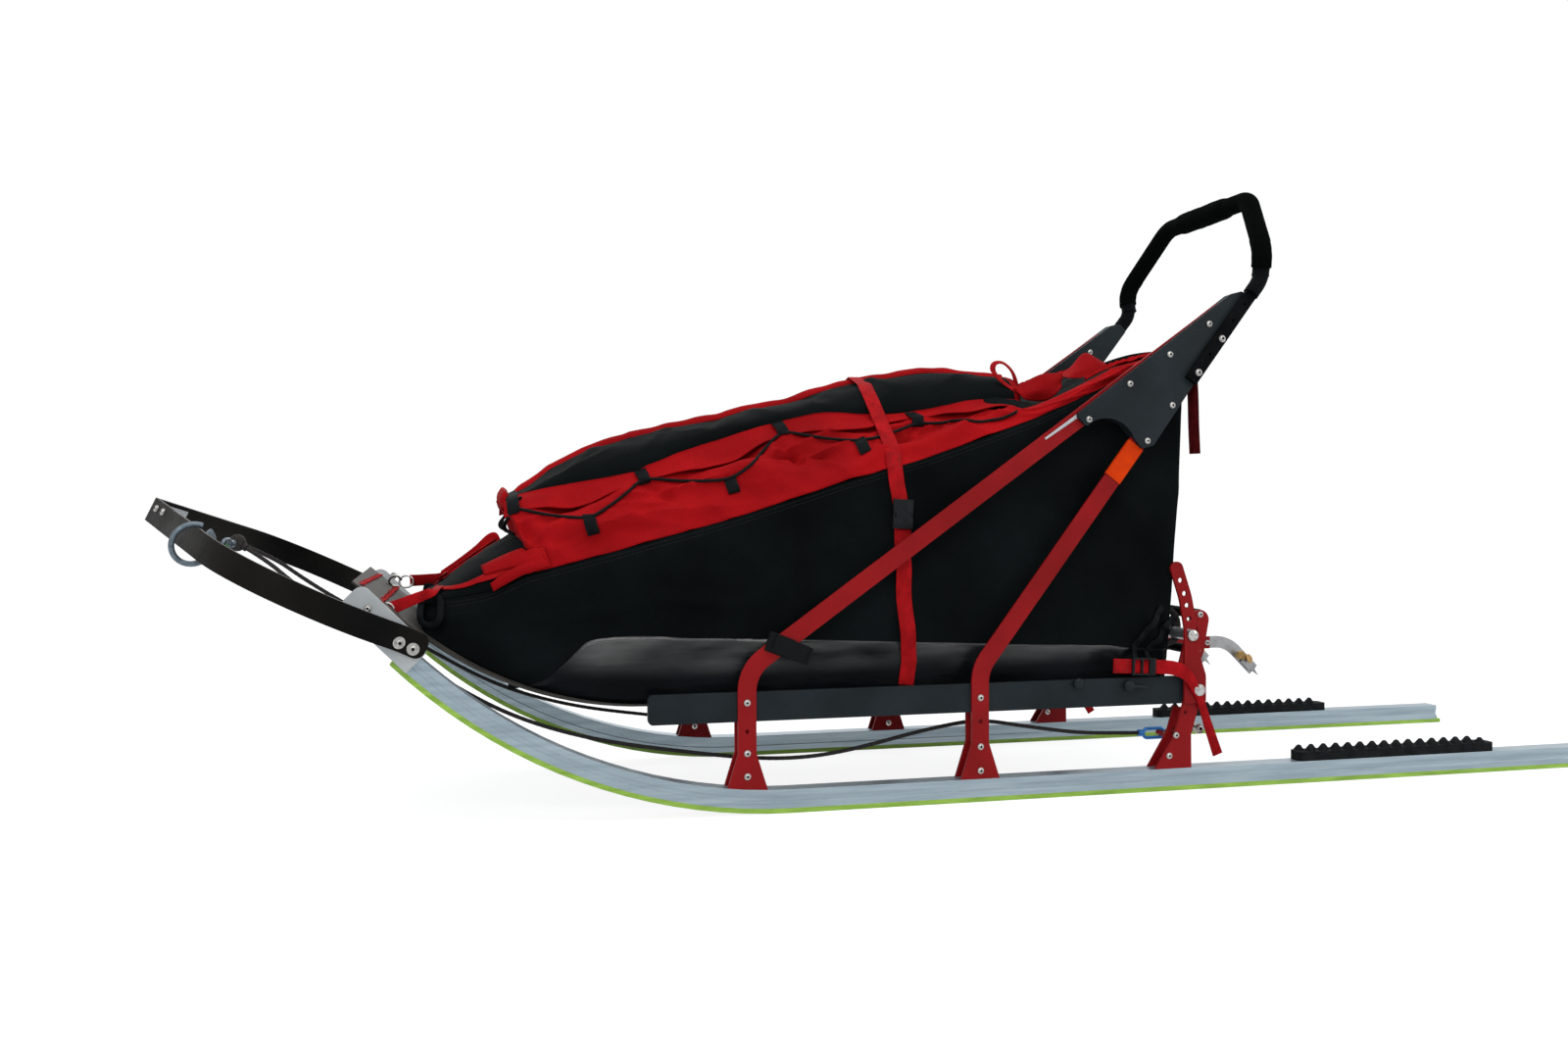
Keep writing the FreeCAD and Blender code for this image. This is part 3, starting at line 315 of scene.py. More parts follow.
# Each spot is a place along the sled, across it for the left and for the right rope, and a height.
bridle_spots = [
    (-0.3415, 0.205, -0.205, 0.091), (-0.2845, 0.2045, -0.2035, 0.093), (-0.2295, 0.204, -0.202, 0.096),
    (-0.1745, 0.204, -0.202, 0.104), (-0.1195, 0.2035, -0.2005, 0.113), (-0.0665, 0.2035, -0.2005, 0.123),
    (-0.0265, 0.2035, -0.2005, 0.125), (0.0285, 0.203, -0.199, 0.117), (0.0815, 0.203, -0.199, 0.107),
    (0.1355, 0.2025, -0.1975, 0.095), (0.1915, 0.2025, -0.1975, 0.084), (0.2485, 0.2025, -0.1975, 0.077),
    (0.3075, 0.202, -0.196, 0.076), (0.3685, 0.2016, -0.1944, 0.081), (0.4285, 0.2006, -0.1914, 0.089),
    (0.4855, 0.1991, -0.1869, 0.098), (0.5415, 0.1971, -0.1809, 0.107), (0.5975, 0.1947, -0.1733, 0.118),
    (0.6515, 0.1922, -0.1658, 0.132), (0.7035, 0.1892, -0.1568, 0.149), (0.7535, 0.1853, -0.1447, 0.17),
    (0.8015, 0.1809, -0.1311, 0.196), (0.8475, 0.1754, -0.1146, 0.225), (0.8935, 0.169, -0.095, 0.255),
    (0.9405, 0.1622, -0.0738, 0.286), (0.9885, 0.1548, -0.0512, 0.317), (1.0355, 0.1459, -0.0241, 0.349),
    (1.0765, 0.1365, 0.0045, 0.381), (1.1105, 0.1272, 0.0332, 0.411)]
for side, column, knot_end, length in (("left", 1, (1.1434, 0.111, 0.4307), 1.591),
                                       ("right", 2, (1.1481, 0.0898, 0.4336), 1.657)):
    route = [(spot[0], spot[column], spot[3]) for spot in bridle_spots] + [knot_end]
    line = evenly(rope_line("bridle_line_" + side, route), rope_step)
    rope = piece("bridle_rope_" + side, [swept(line, braid_section)], rope_finish)
    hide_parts("bridle_" + side)

# Runners
# Each runner is an extruded alloy rail with a long groove, bent up at the nose.
# A lime plastic base slides on under it and takes the wear.

def dress(material, *names):
    """Gives rigid pieces their finish."""
    for name in names:
        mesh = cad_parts[name].data
        mesh.materials.clear()
        mesh.materials.append(material)


def both(*names):
    """The left and the right node of each name."""
    return [name + side for name in names for side in ("_left", "_right")]


def worn(material, radius, color, strength):
    """Shows another colour where the corners are rubbed, and rounds them in the light."""
    rounded = node(material, "Bevel", samples=4, in_Radius=radius).outputs["Normal"]
    meet = node(material, "VectorMath", operation="DOT_PRODUCT", in_0=rounded,
                in_1=node(material, "NewGeometry").outputs["Normal"])
    rub = ramped(material, meet.outputs["Value"], 0.995, 0.80, 0.0, strength)
    patch = product(material, rub, cloud(material, 60.0, 3.0, low=0.3, high=0.6))
    blended(material, patch, shader_socket(material, "Base Color").links[0].from_socket, (*color, 1.0))
    if not shader_socket(material, "Normal").links:
        into_shader(material, rounded, "Normal")


layer_makers["wear"] = worn
dress(finish("runner_alloy", (0.26, 0.325, 0.370), (0.345, 0.420, 0.465), (7.0, 5.0, (1.0, 6.0, 14.0)), 0.36, 0.70,
             0.4, wear=(0.0012, (0.62, 0.66, 0.69), 0.5), bump=(0.12, 0.0003, 60.0, 4.0, (0.35, 12.0, 30.0)),
             polish=(0.30, 0.42, 22.0, 5.0, (0.4, 6.0, 8.0))), *both("runner_rail"))
dress(finish("lime_base", (0.19, 0.34, 0.028), (0.30, 0.49, 0.060), (30.0, 5.0, (0.5, 3.0, 3.0)), 0.50,
             wear=(0.001, (0.50, 0.66, 0.20), 0.6)), *both("runner_base"))

# Posts and stays
# Flat alloy bars, anodised red, stand on flared feet over each runner.
# The front two are bent back at the rail and run up as long stays to the gusset; button bolts hold the feet.

red_bar = finish("red_anodised_bar", (0.20, 0.0035, 0.0045), (0.27, 0.0055, 0.007), (9.0, 5.0), 0.44, specular=0.12,
                 wear=(0.0010, (0.34, 0.035, 0.04), 0.4), bump=(0.12, 0.0003, 420.0, 3.0),
                 polish=(0.34, 0.50, 14.0, 4.0))
steel = finish("zinc_steel", (0.30, 0.295, 0.285), (0.50, 0.49, 0.47), (240.0, 3.0), 0.28, 1.0,
               bump=(0.15, 0.0002, 900.0, 2.0))
dress(red_bar, *both("front_post", "middle_post", "rear_post"), "inner_foot_plates")
dress(steel, "foot_spacers")
# Bolt sockets get a near-black finish: painted shade for the dark inside of the recess.
socket_painted_shade = finish("bolt_socket_painted_shade", (0.008, 0.008, 0.009), (0.018, 0.018, 0.019), (500.0, 2.0), 0.7, specular=0.1)
bolt_finishes = [steel, socket_painted_shade]
left = Vector((0.0, 1.0, 0.0))


def lathe(profile, place, axis, count=20):
    """Round piece turned about an axis from radius and height pairs."""
    turn = Vector(axis).to_track_quat("Z", "Y").to_matrix()
    verts = []
    for radius, height in profile:
        for k in range(count):
            angle = 2 * math.pi * k / count
            spot = Vector((radius * math.cos(angle), radius * math.sin(angle), height))
            verts.append(Vector(place) + turn @ spot)
    return verts, ring_faces(len(profile), count, False)


def button_bolt(place, axis, width=0.0082):
    """Washer, domed head and six-sided socket of a button-head bolt."""
    r = width / 2
    top = 0.0014 + r * 0.52
    thin_washer = [(0.0, 0.0), (r * 1.32, 0.0), (r * 1.36, 0.0004), (r * 1.30, 0.0014), (r * 0.9, 0.0015)]
    head = [(r * 0.98, 0.0014), (r, 0.0022), (r * 0.93, 0.0014 + r * 0.30), (r * 0.74, 0.0014 + r * 0.46),
            (r * 0.56, top), (r * 0.50, top - 0.0001)]
    # The socket's faces take the second finish, a painted shade.
    hollow = lathe([(r * 0.54, top - 0.0001), (r * 0.50, top - 0.0003), (r * 0.49, top - r * 0.42),
                    (0.0, top - r * 0.46)], place, axis, 6)
    return [lathe(thin_washer, place, axis), lathe(head, place, axis), (*hollow, [1] * len(hollow[1]))]


def pair(parts):
    """The same pieces again on the sled's right side."""
    turned = [([Vector((v[0], -v[1], v[2])) for v in part[0]], [tuple(reversed(face)) for face in part[1]], *part[2:])
              for part in parts]
    return parts + turned


surfaces = {}


def seated(name, x, z):
    """The place and direction on a left piece's outer face at a length and a height."""
    if name not in surfaces:
        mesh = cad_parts[name].data
        surfaces[name] = BVHTree.FromPolygons([v.co for v in mesh.vertices], [p.vertices for p in mesh.polygons])
    place, normal, face, away = surfaces[name].ray_cast(Vector((x, 1.0, z)), -left)
    if place is None:
        place, normal, face, away = surfaces[name].find_nearest(Vector((x, 0.3, z)))
    return place, (normal if normal.y > 0 else -normal)


def seated_bolts(name, spots, *width):
    """Button bolts on a left piece's outer face."""
    return [part for x, z in spots for part in button_bolt(*seated(name, x, z), *width)]


foot_inside = 0.234
foot_heights = 0.12
post_bolts = []
for name, spots in (("front_post_left", ((0.3735, 0.0620), (0.3735, 0.0990), (0.3735, 0.1800))),
                    ("middle_post_left", ((-0.0225, 0.0520), (-0.0225, 0.0920), (-0.0225, 0.1735))),
                    ("rear_post_left", ((-0.3680, 0.0604), (-0.3810, 0.0953), (-0.4028, 0.1690)))):
    for x, z in spots:
        post_bolts += seated_bolts(name, [(x, z)])
        if z < foot_heights:
            post_bolts += button_bolt((x, foot_inside, z), -left)
spacer_start = Vector((-0.4405, 0.205, 0.1000))
for radius, start, end in ((0.0045, 0.0, 0.036), (0.0120, 0.002, 0.0040), (0.0095, 0.012, 0.0135),
                           (0.0088, 0.034, 0.0356)):
    post_bolts.append(lathe([(0.0, start), (radius, start), (radius, end), (0.0, end)], spacer_start, left))
post_bolts += button_bolt(spacer_start + left * 0.0356, left, 0.0110)


def bolts(name, parts, body="sled"):
    """The left side's bolts and the same on the right."""
    piece(name, pair(parts), bolt_finishes, body)


bolts("post_bolts", post_bolts)

# Orange band
# A bright reflective tape is wrapped round the top of each middle stay.
# It is thin, lies tight on all four faces of the bar, and leans in with it.

orange = finish("orange_tape", (0.53, 0.033, 0.001), (0.63, 0.043, 0.0015), (40.0, 3.0), 0.46, specular=0.06,
                bump=(0.2, 0.0003, 500.0, 2.0))
stay_slope = math.radians(52.0)
side_tilt = math.radians(3.0)
tape_low, tape_high = 0.500, 0.558
bar_half, bar_thick = 0.015, 0.005
tape_gap, tape_thick = 0.0003, 0.0006
stay_x, stay_y = -0.0225, 0.266
runner_top, stay_bend, tilt_height = 0.038, 0.182, 0.196


def on_middle_stay(up, across, out):
    """A place on the left middle stay: height over the runner's top, across the bar, and out from it."""
    along = Vector((-math.cos(stay_slope), 0.0, math.sin(stay_slope)))
    normal = Vector((math.sin(stay_slope), 0.0, math.cos(stay_slope)))
    start = Vector((stay_x, 0.0, runner_top + stay_bend))
    flat = start + along * ((up - stay_bend) / math.sin(stay_slope)) + normal * across
    rise = flat.z - tilt_height
    return Vector((flat.x, stay_y + out * math.cos(side_tilt) - rise * math.sin(side_tilt),
                   tilt_height + rise * math.cos(side_tilt) + out * math.sin(side_tilt)))


tape_corners = []
for up in (tape_low, tape_high):
    for out in (tape_gap, tape_gap + tape_thick):
        for across, deep in ((1, 0), (-1, 0), (-1, 1), (1, 1)):
            tape_corners.append(on_middle_stay(up, across * (bar_half + out), -bar_thick - out if deep else out))
tape_faces = [(a * 4 + k, a * 4 + (k + 1) % 4, b * 4 + (k + 1) % 4, b * 4 + k)
              for a, b in ((0, 1), (1, 3), (3, 2), (2, 0)) for k in range(4)]
piece("orange_bands", pair([(tape_corners, tape_faces)]), orange, smooth=False)

# Side rails
# Dark moulded boards carry the bed's tubes between the posts.
# Their faces are finely grained, and the long edges are rubbed paler.

dark_plastic = finish("dark_moulded_plastic", (0.0070, 0.0105, 0.0130), (0.0120, 0.0170, 0.0205), (12.0, 5.0), 0.52,
                      specular=0.12, wear=(0.0012, (0.05, 0.055, 0.06), 0.7), bump=(0.25, 0.0004, 320.0, 4.0),
                      polish=(0.38, 0.58, 20.0, 5.0))
dress(dark_plastic, *both("side_rail"))

# Bed
# A plastic sheet lies on three alloy tubes and sweeps up to the nose.
# The tubes lie across the sled and end in the side rails and the rear posts' plates.

dress(finish("bed_plastic", (0.027, 0.025, 0.022), (0.046, 0.043, 0.038), (16.0, 6.0), 0.60, specular=0.12,
             bump=(0.3, 0.0005, 160.0, 5.0), wear=(0.0008, (0.10, 0.095, 0.088), 0.6)), "bed_sheet")
dress(finish("tube_alloy", (0.34, 0.36, 0.38), (0.50, 0.52, 0.54), (40.0, 4.0, (6.0, 1.0, 6.0)), 0.34, 0.9,
             bump=(0.2, 0.0002, 300.0, 3.0, (4.0, 0.5, 4.0))), "cross_tubes", "nose_tube", "rear_cross_tube")

# Nose plates and bow
# Light plates carry the runners' line on, and two dark flat bands bend out from them to a point.
# Bolts on wide washers hold each band to its plate, and a small plate joins the bands.

grey_plate = finish("light_grey_plate", (0.40, 0.415, 0.42), (0.47, 0.485, 0.49), (18.0, 5.0), 0.46, 0.1, 0.3,
                    wear=(0.0010, (0.56, 0.57, 0.57), 0.6), bump=(0.2, 0.0003, 260.0, 4.0))
dress(grey_plate, *both("nose_plate"), "bow_joint_plate")
dress(finish("bow_plastic", (0.0014, 0.0015, 0.0015), (0.0085, 0.0070, 0.0056), (5.0, 4.0), 0.46, specular=0.06,
             wear=(0.0015, (0.06, 0.036, 0.022), 0.6), bump=(0.3, 0.0004, 180.0, 5.0),
             polish=(0.32, 0.52, 15.0, 4.0)), *both("bow_band"))


def washered(place, axis, width):
    """A button bolt on a wide flat washer."""
    r = width / 2
    washer = [(0.0, 0.0), (r * 1.75, 0.0), (r * 1.8, 0.0006), (r * 1.75, 0.0016), (0.0, 0.0017)]
    return [lathe(washer, place, axis)] + button_bolt(Vector(place) + axis * 0.0016, axis, width)


bow_bolts = []
for x, z in ((0.9072, 0.2931), (0.8868, 0.2825)):
    bow_bolts += washered(*seated("bow_band_left", x, z), 0.0108)
bow_bolts += seated_bolts("bow_band_left", ((1.2909, 0.4931), (1.2760, 0.4880)), 0.0092)
bow_bolts += seated_bolts("nose_plate_left", [(0.9520, 0.3440)])
bolts("bow_bolts", bow_bolts)

# Gussets
# Thick dark plates tie both stays of a side and hold the handlebar.
# A second plate of the same cut lies inside, and bolts go through both plates and the stays.

dress(dark_plastic, *both("gusset"))
lean_out = Vector((0.0, math.cos(side_tilt), math.sin(side_tilt)))
plate_step = 0.0133
plate_thick = 0.008
inner_plates = []
for side, out in (("left", lean_out), ("right", Vector((0.0, -lean_out.y, lean_out.z)))):
    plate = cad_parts["gusset_" + side].data
    inner_corners = [v.co - out * plate_step for v in plate.vertices]
    inner_plates.append((inner_corners, [tuple(p.vertices) for p in plate.polygons]))
piece("inner_gusset_plates", inner_plates, dark_plastic)
gusset_bolts = []
for x, z in ((-0.2255, 0.638), (-0.3035, 0.700), (-0.3805, 0.752), (-0.4575, 0.807), (-0.3825, 0.664),
             (-0.3335, 0.602)):
    place, out = seated("gusset_left", x, z)
    gusset_bolts += button_bolt(place, out)
    gusset_bolts += button_bolt(place - lean_out * (plate_step + plate_thick), -lean_out)
bolts("gusset_bolts", gusset_bolts)

# Handlebar
# A bent black tube runs up from the gussets and over the driver's grip.
# Foam is slid over its bends and its top, and tape is wound round the legs below.

black_tube = finish("black_tube", (0.0018, 0.0022, 0.0025), (0.0045, 0.0052, 0.0058), (30.0, 4.0), 0.60,
                    specular=0.02, wear=(0.0006, (0.03, 0.03, 0.033), 0.4))
foam = finish("grip_foam", (0.0010, 0.0013, 0.0012), (0.0032, 0.0038, 0.0036), (700.0, 2.0), 0.95, specular=0.01,
              bump=(0.6, 0.0006, 1100.0, 3.0))
dress(black_tube, "handlebar")
dress(foam, "hand_grip")
bolts("handlebar_bolts", seated_bolts("handlebar", ((-0.4295, 0.7230), (-0.4765, 0.7830)), 0.0095))
foam_radius = 0.0170
tape_radius = 0.0143
thick_foam = 0.0030
bend_radius = 0.046
bar_knee = Vector((-0.5575, 0.2400, 0.8870))
bar_bend = Vector((-0.5555, 0.2520, 0.9330))
bar_top = Vector((-0.5935, 0.1460, 1.0490))


def rounded_corner(first, corner, last, radius, count):
    """Places along two straights joined by an arc round their corner."""
    back, ahead = (first - corner).normalized(), (last - corner).normalized()
    half = back.angle(ahead) / 2
    reach = radius / math.tan(half)
    centre = corner + (back + ahead).normalized() * (radius / math.sin(half))
    arc = []
    for i in range(count):
        spoke = (corner + back * reach - centre).lerp(corner + ahead * reach - centre, i / (count - 1)).normalized()
        arc.append(centre + spoke * radius)
    return [first] + arc + [last]


def circle(radius, around=10):
    """A round section."""
    return [(radius * math.cos(2 * math.pi * k / around), radius * math.sin(2 * math.pi * k / around))
            for k in range(around)]


def wrapped(line, radius, bumps):
    """A wrapped sleeve whose turns stand out a little."""
    def section(i):
        """One turn of the wrap."""
        uneven = noise.noise(Vector((i * 0.13, radius * 90, 1.0)))
        return circle(radius + bumps * (0.5 + 0.5 * math.sin(i * 0.7)) + bumps * 0.6 * uneven, 28)
    return swept(line, section)


def thick_section(i):
    """The thick foam on the handlebar's top, drawn in at its ends."""
    t = i / (len(thick_line) - 1)
    swell = min(1.0, t * 9.0, (1.0 - t) * 9.0) ** 0.6
    grow = foam_radius + 0.0002 + thick_foam * swell + 0.0007 * noise.noise(Vector((i * 0.16, 3.0, 1.0)))
    return [(a * (1.0 + 0.02 * math.sin(k + i * 0.2)), b) for k, (a, b) in enumerate(circle(grow, 32))]


bend_ends = bar_bend.lerp(bar_knee, 0.45), bar_bend.lerp(bar_top, 0.24)
bend_line = evenly(rounded_corner(bend_ends[0], bar_bend, bend_ends[1], bend_radius, 16), 0.002)
thick_line = evenly([Vector((bar_top.x, y, bar_top.z)) for y in (0.078, -0.094)], 0.003)
leg_line = evenly([bar_bend.lerp(bar_knee, share) for share in (0.43, 0.86)], 0.002)
sleeves = pair([wrapped(bend_line, foam_radius, 0.0003)]) + [swept(thick_line, thick_section)]
piece("grip_sleeves", sleeves, foam)
piece("grip_tapes", pair([wrapped(leg_line, tape_radius, 0.0008)]), black_tube)

# Rear uprights and brake
# Red plates over the rear posts hold a cross tube; the claw brake swings on pins behind them.
# Each claw is clamped in a steel holder by a brass wing nut, and clevis bolts hold the claw bar.

dress(red_bar, *both("rear_upright", "brake_arm", "brake_lever"), "claw_blocks")
dress(steel, "hinge_pins")
dress(black_tube, "brake_foot_bar", "brake_claw_bar")
claw_steel = finish("claw_steel", (0.26, 0.26, 0.265), (0.36, 0.36, 0.365), (60.0, 4.0), 0.40, 0.9,
                    bump=(0.12, 0.0003, 300.0, 4.0))
dress(claw_steel, "claws")
brass = finish("brass_nut", (0.26, 0.15, 0.05), (0.42, 0.26, 0.10), (140.0, 3.0), 0.36, 0.9)


def block(place, ahead, out, long, wide, thick, soft=0.0012):
    """A small moulded body with softened edges."""
    across = ahead.cross(out)
    shape = bmesh.new()
    bmesh.ops.create_cube(shape, size=1.0)
    bmesh.ops.scale(shape, vec=(long, wide, thick), verts=shape.verts)
    bmesh.ops.bevel(shape, geom=shape.edges[:], offset=soft, segments=2, affect="EDGES", profile=0.6)
    shape.verts.index_update()
    verts = [place + ahead * v.co.x + across * v.co.y + out * v.co.z for v in shape.verts]
    faces = [tuple(v.index for v in face.verts) for face in shape.faces]
    shape.free()
    return verts, faces


claw_ahead = Vector((-0.055, 0.0, -0.055)).normalized()
claw_up = Vector((-0.055, 0.0, 0.055)).normalized()
clevis_place = Vector((-0.5420, 0.0, 0.2330))
clevis_half = 0.0091
clevis_width = 0.0075
nut_side = 0.0064
nut_shape = [(0.0, 0.0), (0.0062, 0.0), (0.0066, 0.002), (0.0048, 0.007), (0.0, 0.008)]
wing_shape = [(0.0, -0.001), (0.0080, -0.001), (0.0090, 0.0), (0.0080, 0.001), (0.0, 0.001)]
screw_head = [(0.0, 0.0), (0.0062, 0.0), (0.0062, 0.005), (0.0, 0.0055)]
holders, nuts, clevis_bolts = [], [], []
for claw_y in (0.085, -0.085):
    for x, y, z, long, wide, thick in ((-0.6300, claw_y - 0.0042, 0.1925, 0.026, 0.0042, 0.019),
                                       (-0.6300, claw_y + 0.0042, 0.1925, 0.026, 0.0042, 0.019),
                                       (-0.6395, claw_y, 0.1830, 0.012, 0.0090, 0.011)):
        holders.append(block(Vector((x, y, z)), claw_ahead, claw_up, long, wide, thick))
    nut = Vector((-0.6180, claw_y + nut_side, 0.2045))
    nuts.append(lathe(nut_shape, nut, left))
    for turn in (1.0, -1.0):
        wing = nut + Vector((0.0095 * turn, 0.0075, 0.0035 * turn))
        nuts.append(lathe(wing_shape, wing, (0.35 * turn, 0.75, -0.30 * turn), 14))
    nuts.append(lathe(screw_head, (nut.x, claw_y - nut_side, nut.z), -left, 6))
    for out in (left, -left):
        clevis_bolts += button_bolt(clevis_place + left * claw_y + out * clevis_half, out, clevis_width)
piece("claw_holders", holders, claw_steel, "brake")
piece("claw_wing_nuts", nuts, brass, "brake")
piece("clevis_bolts", clevis_bolts, bolt_finishes, "brake")
bolts("arm_bolts", seated_bolts("brake_arm_left", ((-0.4555, 0.2980), (-0.4505, 0.2330))), "brake")
tube_end = lathe([(0.0, 0.0), (0.0095, 0.0), (0.0100, 0.0008), (0.0095, 0.0030), (0.0065, 0.0052), (0.0, 0.0058)],
                 (-0.4095, 0.2712, 0.2672), left)
piece("cross_tube_ends", pair([tube_end]), steel)

# Elastic cord
# A thick black cord is hooked over the rear cross tube and pulls the brake up out of the snow.
# It makes a tall loop and a short one on each side.

elastic_radius = 0.0058
elastic_loops = []


def on_side(places, sign):
    """Places on the left side as they are, or turned over to the right side by a sign of -1."""
    return [Vector((x, sign * y, z)) for x, y, z in places]


for sign in (1.0, -1.0):
    for loop in (((-0.352, 0.206, 0.214), (-0.366, 0.204, 0.246), (-0.384, 0.200, 0.280), (-0.402, 0.197, 0.306),
                  (-0.418, 0.194, 0.300), (-0.428, 0.191, 0.276), (-0.424, 0.189, 0.254)),
                 ((-0.356, 0.212, 0.222), (-0.376, 0.207, 0.238), (-0.396, 0.203, 0.247), (-0.412, 0.200, 0.250),
                  (-0.426, 0.197, 0.262), (-0.420, 0.194, 0.282), (-0.402, 0.191, 0.288))):
        line = evenly(rope_line("elastic_line", on_side(loop, sign)), 0.003)
        elastic_loops.append(swept(line, lambda i: circle(elastic_radius * (1 + 0.05 * math.sin(i * 1.9)), 14)))
piece("brake_elastics", elastic_loops, rope_finish)

# Foot pads
# Rubber pads with two rows of pointed knobs lie on the runners' tails.
# They are moulded in one piece and give the driver's boots a hold.

dress(finish("pad_rubber", (0.0025, 0.0032, 0.0036), (0.0085, 0.0100, 0.0108), (60.0, 5.0), 0.78, specular=0.10,
             bump=(0.4, 0.0005, 500.0, 4.0)), *both("foot_pad"))

# Load bag: cloth
# Stout woven nylon, black on the sides and lid, red on the collar and on the lid's border.
# The lower sides carry a welded band of glossy vinyl.

def weave(material, pitch, strength, depth):
    """Plain weave whose threads cross along the sled and up its side."""
    split = node(material, "SeparateXYZ", in_0=place_on(material)).outputs
    up = node(material, "Math", operation="ADD", in_0=split["Y"], in_1=split["Z"]).outputs[0]
    threads = [node(material, "Math", operation="SINE", in_0=product(material, run, math.pi / pitch)).outputs[0]
               for run in (split["X"], up)]
    raised(material, product(material, *threads), strength, depth)


def sheen(material, *edges):
    """Painted highlight: lets the gloss rise and fall along the axes, so the sheen shows only where light falls; each
    edge has an axis, a dull place and a glossy place.
    """
    split = node(material, "SeparateXYZ", in_0=place_on(material)).outputs
    share = cloud(material, 9.0, 3.0, (0.5, 1.0, 2.4), 0.30, 0.62)
    for axis, dull, glossy in edges:
        share = product(material, share, ramped(material, split[axis], dull, glossy, kind="SMOOTHSTEP"))
    into_shader(material, ramped(material, share, 0.0, 1.0, 0.03, 1.0), "Specular IOR Level")


layer_makers["weave"] = weave
layer_makers["sheen"] = sheen
black_cloth = finish("black_nylon", (0.0016, 0.0023, 0.0024), (0.0046, 0.0062, 0.0066), (5.0, 6.0), 0.80,
                     specular=0.03, bump=(0.40, 0.0016, 30.0, 5.0), weave=(0.0014, 0.35, 0.0004))
red_cloth = finish("red_nylon", (0.24, 0.0026, 0.004), (0.37, 0.0045, 0.0065), (7.0, 6.0), 0.76, specular=0.05,
                   bump=(0.45, 0.0016, 34.0, 5.0), weave=(0.0014, 0.35, 0.0004))
# The vinyl's gloss is masked by height and length: a painted highlight on the band's upper middle, with painted shade
# below it and at its ends.
vinyl = finish("black_vinyl", (0.0026, 0.0034, 0.0040), (0.0060, 0.0076, 0.0090), (8.0, 4.0), 0.34,
               bump=(0.45, 0.0035, 14.0, 4.0, (0.6, 1.0, 2.0)), polish=(0.26, 0.44, 16.0, 4.0),
               sheen=(("Z", 0.214, 0.264), ("X", 0.685, 0.60), ("X", -0.345, -0.26)))

# Load bag: sides
# Each side is one panel from the side rail up to the seam; what is packed bellies it out.
# The tail of the panel leans back with the rear panel.

nose_x, tail_x = 0.8735, -0.3865
bed_height = 0.178
lean_back, bag_length, bag_height = 0.045, 1.26, 0.575
seam_line = [(nose_x, 0.345), (0.82, 0.350), (0.772, 0.360), (0.7114, 0.386), (0.6193, 0.410), (0.5015, 0.442),
             (0.3807, 0.4745), (0.257, 0.513), (0.1487, 0.5455), (0.0887, 0.562), (0.0192, 0.584),
             (-0.069, 0.6135), (-0.1406, 0.6395), (-0.2041, 0.6655), (-0.2316, 0.680), (-0.32, 0.718),
             (-0.4315, 0.757)]
half_width = [(nose_x, 0.165), (0.8105, 0.176), (0.7475, 0.188), (0.6593, 0.202), (0.5585, 0.2175),
              (0.4451, 0.2245), (0.3191, 0.229), (0.1805, 0.229), (0.0419, 0.229), (-0.0841, 0.2267),
              (-0.1849, 0.222), (-0.2857, 0.2176), (tail_x, 0.213)]
bed_gap = 0.0008
# Each fold is a start and an end along the sled and up, a height and a width.
side_folds = [(0.02, 0.56, -0.20, 0.30, 0.006, 0.020), (-0.10, 0.60, -0.30, 0.38, 0.005, 0.018),
              (0.16, 0.50, 0.40, 0.30, 0.004, 0.022), (0.62, 0.36, 0.36, 0.33, 0.004, 0.014),
              (0.74, 0.31, 0.50, 0.34, 0.003, 0.012), (-0.20, 0.62, -0.34, 0.52, 0.004, 0.014),
              (-0.33, 0.50, -0.36, 0.28, -0.005, 0.020), (0.10, 0.52, 0.08, 0.30, -0.004, 0.016),
              (-0.335, 0.315, -0.384, 0.215, 0.016, 0.011), (-0.362, 0.300, -0.386, 0.240, -0.014, 0.008),
              (-0.300, 0.280, -0.352, 0.205, -0.012, 0.010), (-0.260, 0.262, -0.322, 0.200, 0.009, 0.011),
              (-0.24, 0.57, -0.36, 0.40, 0.006, 0.013), (-0.16, 0.50, -0.30, 0.44, 0.005, 0.012)]


def between(p0, p1, p2, p3, u):
    """A smooth step from the second of four values or places to the third."""
    return 0.5 * (2 * p1 + (p2 - p0) * u + (2 * p0 - 5 * p1 + 4 * p2 - p3) * u * u
                  + (3 * p1 - p0 - 3 * p2 + p3) * u * u * u)


def at_x(table, x):
    """Smooth value at a place along the sled, from pairs that run from nose to tail."""
    xs = [place for place, value in table]
    if x >= xs[0]:
        return table[0][1]
    if x <= xs[-1]:
        return table[-1][1]
    i = next(k for k in range(len(xs) - 1) if xs[k] >= x > xs[k + 1])
    four = [table[max(0, min(len(table) - 1, i + k))][1] for k in (-1, 0, 1, 2)]
    return between(*four, (xs[i] - x) / (xs[i] - xs[i + 1]))


def bed_top(x):
    """Height of the bed's upper face, flat and then swept up to the nose."""
    bend, rise, flat_end = 0.5585, math.radians(40.0), 0.5285
    ahead = x - flat_end
    if ahead <= 0:
        return bed_height
    on_arc = min(ahead, bend * math.sin(rise))
    return bed_height + bend - math.sqrt(bend ** 2 - on_arc ** 2) + (ahead - on_arc) * math.tan(rise)


def lean(x, z):
    """How far the bag leans back as it rises, more and more towards the rear."""
    return lean_back * (nose_x - x) / bag_length * (z - bed_height) / bag_height


def crease(x, z, seed, along=1.0, across=1.0, sharp=2.0):
    """Height of soft creases: narrow ridges of slow noise."""
    value = noise.noise(Vector((x * along, z * across, seed)))
    return max(0.0, 1.0 - abs(value) * 2.2) ** sharp


